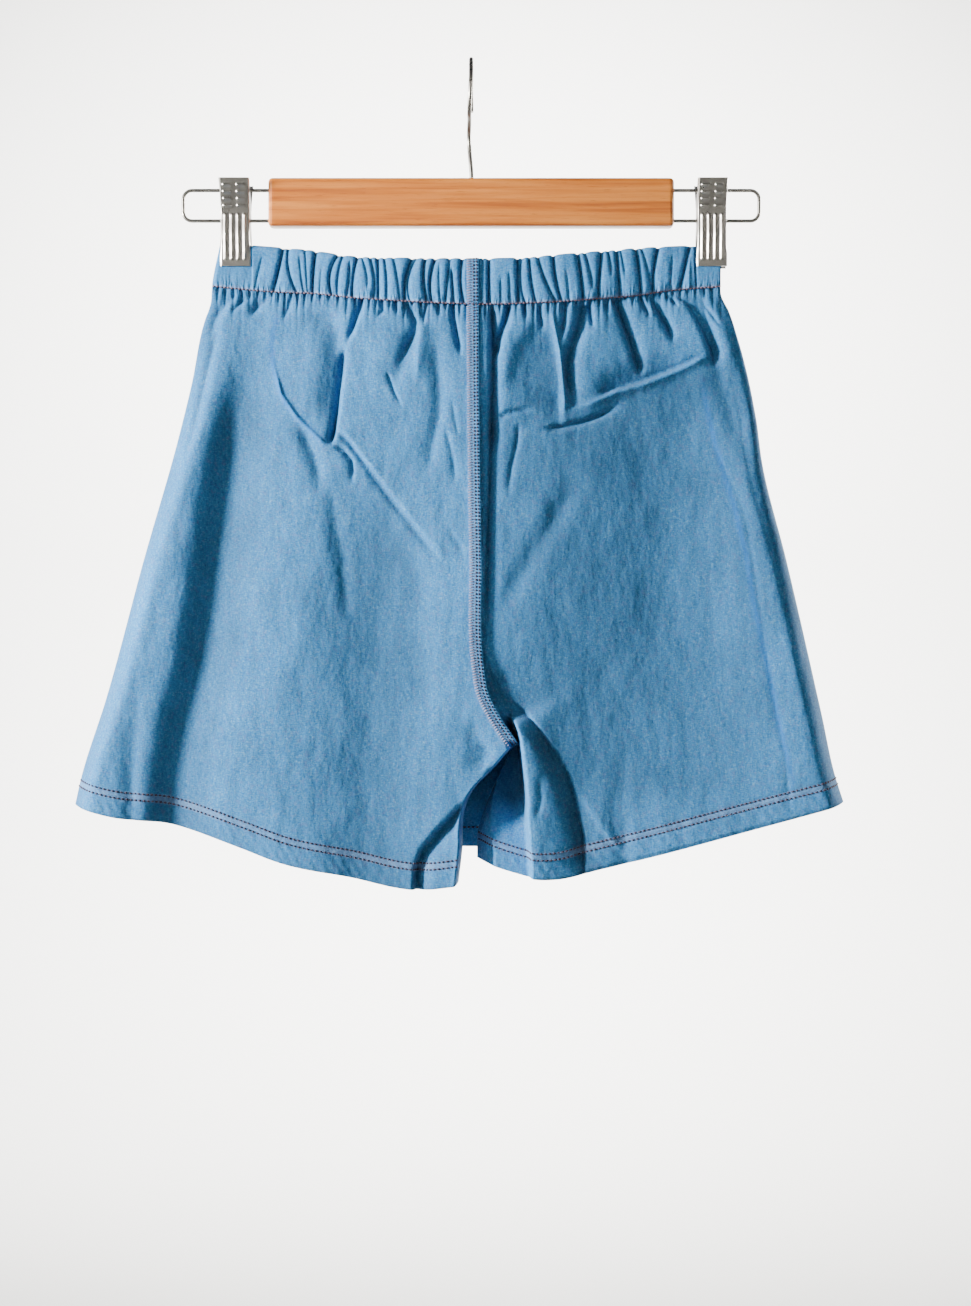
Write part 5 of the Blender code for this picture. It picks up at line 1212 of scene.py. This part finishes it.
def loop_route(way):
    """A loop out of one end of the bar: way is -1 on the left and 1 on the right."""
    bend = LOOP_END - LOOP_CORNER
    corner = [(bend + LOOP_CORNER * math.sin(a), LOOP_TOP + LOOP_CORNER * (1 - math.cos(a)))
              for a in np.radians(range(0, 91, 10))]
    upper = [(LOOP_START, LOOP_TOP), (bend - 20, LOOP_TOP)] + corner
    lower = [(x, LOOP_TOP + LOOP_FOOT - drop) for x, drop in reversed(upper)]
    return [(way * x, 0, -drop) for x, drop in upper + lower]


for way, side_name in ((-1, "left"), (1, "right")):
    wire(f"loop_of_{side_name}_end", loop_route(way), LOOP_WIRE, f"wire_loop_{side_name}")

# Clips
# Two pressed and chromed sheet plates gripped by a leaf spring that rides on the loop's upper wire.
# Each plate has eight raised finger grips, four long ribs and sides turned towards the other plate.
CLIP_PLACES = {"left": -148.2, "right": 151.2}
PLATE = [(75.2, 11.6), (79, 10.2), (83.5, 8.6), (89, 6.4), (95, 4.95), (96.4, 4.8), (111, 4.7), (116, 3.9),
         (119, 3.55), (125.6, 3.5), (127, 3.5), (129, 3.6)]
PLATE_TOP, PLATE_FOOT, PLATE_SHEET = 75.2, 129.0, 1.0
PLATE_HALF = 8.9
RIB_PLACES = (-6.1, -2.05, 2.0, 6.05)
RIB_HALF, RIB_HEIGHT, RIB_TOP, RIB_FOOT = 1.5, 1.1, 95.6, 125.6
GRIP_PLACES, GRIP_LEVELS = (-4.5, 4.1), (79.6, 83.6, 87.6, 91.6)
GRIP_HALF, GRIP_TALL, GRIP_HEIGHT = 3.4, 1.5, 1.0
SIDE_DEPTH = [(75.2, 0.8), (80, 3.0), (86, 4.6), (108, 4.2), (114, 1.9), (120, 0.6), (129, 0.5)]
SIDE_STEPS = [(9.1, 0.12), (9.25, 0.35), (9.4, 0.7), (9.6, 1.0)]
plate_out = smooth_curve(PLATE)
side_depth = smooth_curve(SIDE_DEPTH)


def plate(name, middle, facing, node):
    face = [(place, 0.0) for place in np.linspace(-PLATE_HALF, PLATE_HALF, 63)]
    columns = [(-place, depth) for place, depth in reversed(SIDE_STEPS)] + face + SIDE_STEPS
    across = np.array([place for place, _ in columns])[None, :]
    back = np.array([depth for _, depth in columns])[None, :]
    drop = np.linspace(PLATE_TOP, PLATE_FOOT, 121)[:, None] * np.ones((1, len(columns)))
    raised = np.zeros_like(drop)
    for place in RIB_PLACES:
        past_end = np.maximum(np.maximum(RIB_TOP + RIB_HALF - drop, drop - RIB_FOOT + RIB_HALF), 0)
        from_line = np.hypot(across - place, past_end)
        raised = np.maximum(raised, RIB_HEIGHT * ease(1 - from_line / RIB_HALF))
    for place in GRIP_PLACES:
        for level in GRIP_LEVELS:
            past_end = np.maximum(np.abs(across - place) - GRIP_HALF + GRIP_TALL, 0)
            from_line = np.hypot(past_end, drop - level)
            raised = np.maximum(raised, GRIP_HEIGHT * ease(1 - from_line / GRIP_TALL))
    corner = 0.35 * (1 - quarter_round(PLATE_HALF - np.abs(across), 0.8)) * (back == 0)
    front = plate_out(drop) + PLATE_SHEET + raised - corner - back * side_depth(drop) - 0.4 * (back > 0)
    rear = plate_out(drop) - np.maximum(back * side_depth(drop) - PLATE_SHEET, 0)
    rear = np.minimum(rear, front - 0.12)
    turned_in = np.sign(across) * (PLATE_HALF - 0.1 + 0.1 * back)
    inner_across = np.where(np.abs(across) > PLATE_HALF, turned_in, across)
    outer = at(middle + across * np.ones_like(drop), drop, facing * front)
    inner = at(middle + inner_across * np.ones_like(drop), drop, facing * rear)
    dress(cloth_wall(name, outer, inner[::2, ::2], plate_chrome), "clip_plate", node)


SPRING_WIDTH, SPRING_THICK, SPRING_OUT, SPRING_FOOT = 12.0, 0.9, 4.4, 110.5


def leaf_spring(name, middle, node):
    """A leaf bent over the loop's upper wire, its two legs pressing the plates' jaws together."""
    bend = LOOP_TOP - LOOP_WIRE - SEAM_GAP + SPRING_OUT - SPRING_THICK
    turns = np.radians(range(0, 181, 9))
    rings = []
    for radius in (SPRING_OUT, SPRING_OUT - SPRING_THICK):
        arch = [(-radius * math.cos(a), bend - radius * math.sin(a)) for a in turns]
        rings.append([(-radius, SPRING_FOOT)] + arch + [(radius, SPRING_FOOT)])
    across = np.linspace(middle - SPRING_WIDTH / 2, middle + SPRING_WIDTH / 2, 5)
    outer, inner = (np.array([[(x, y, -drop) for x in across] for y, drop in ring]) for ring in rings)
    dress(cloth_wall(name, outer, inner[::2, ::2], wire_chrome), "spring", node)


for side_name, middle in CLIP_PLACES.items():
    plate(f"ribbed_plate_{side_name}_back_view", middle, -1, f"clip_{side_name}_front")
    plate(f"ribbed_plate_{side_name}_front_view", middle, 1, f"clip_{side_name}_back")
    leaf_spring(f"leaf_spring_{side_name}", middle, f"clip_{side_name}_spring")
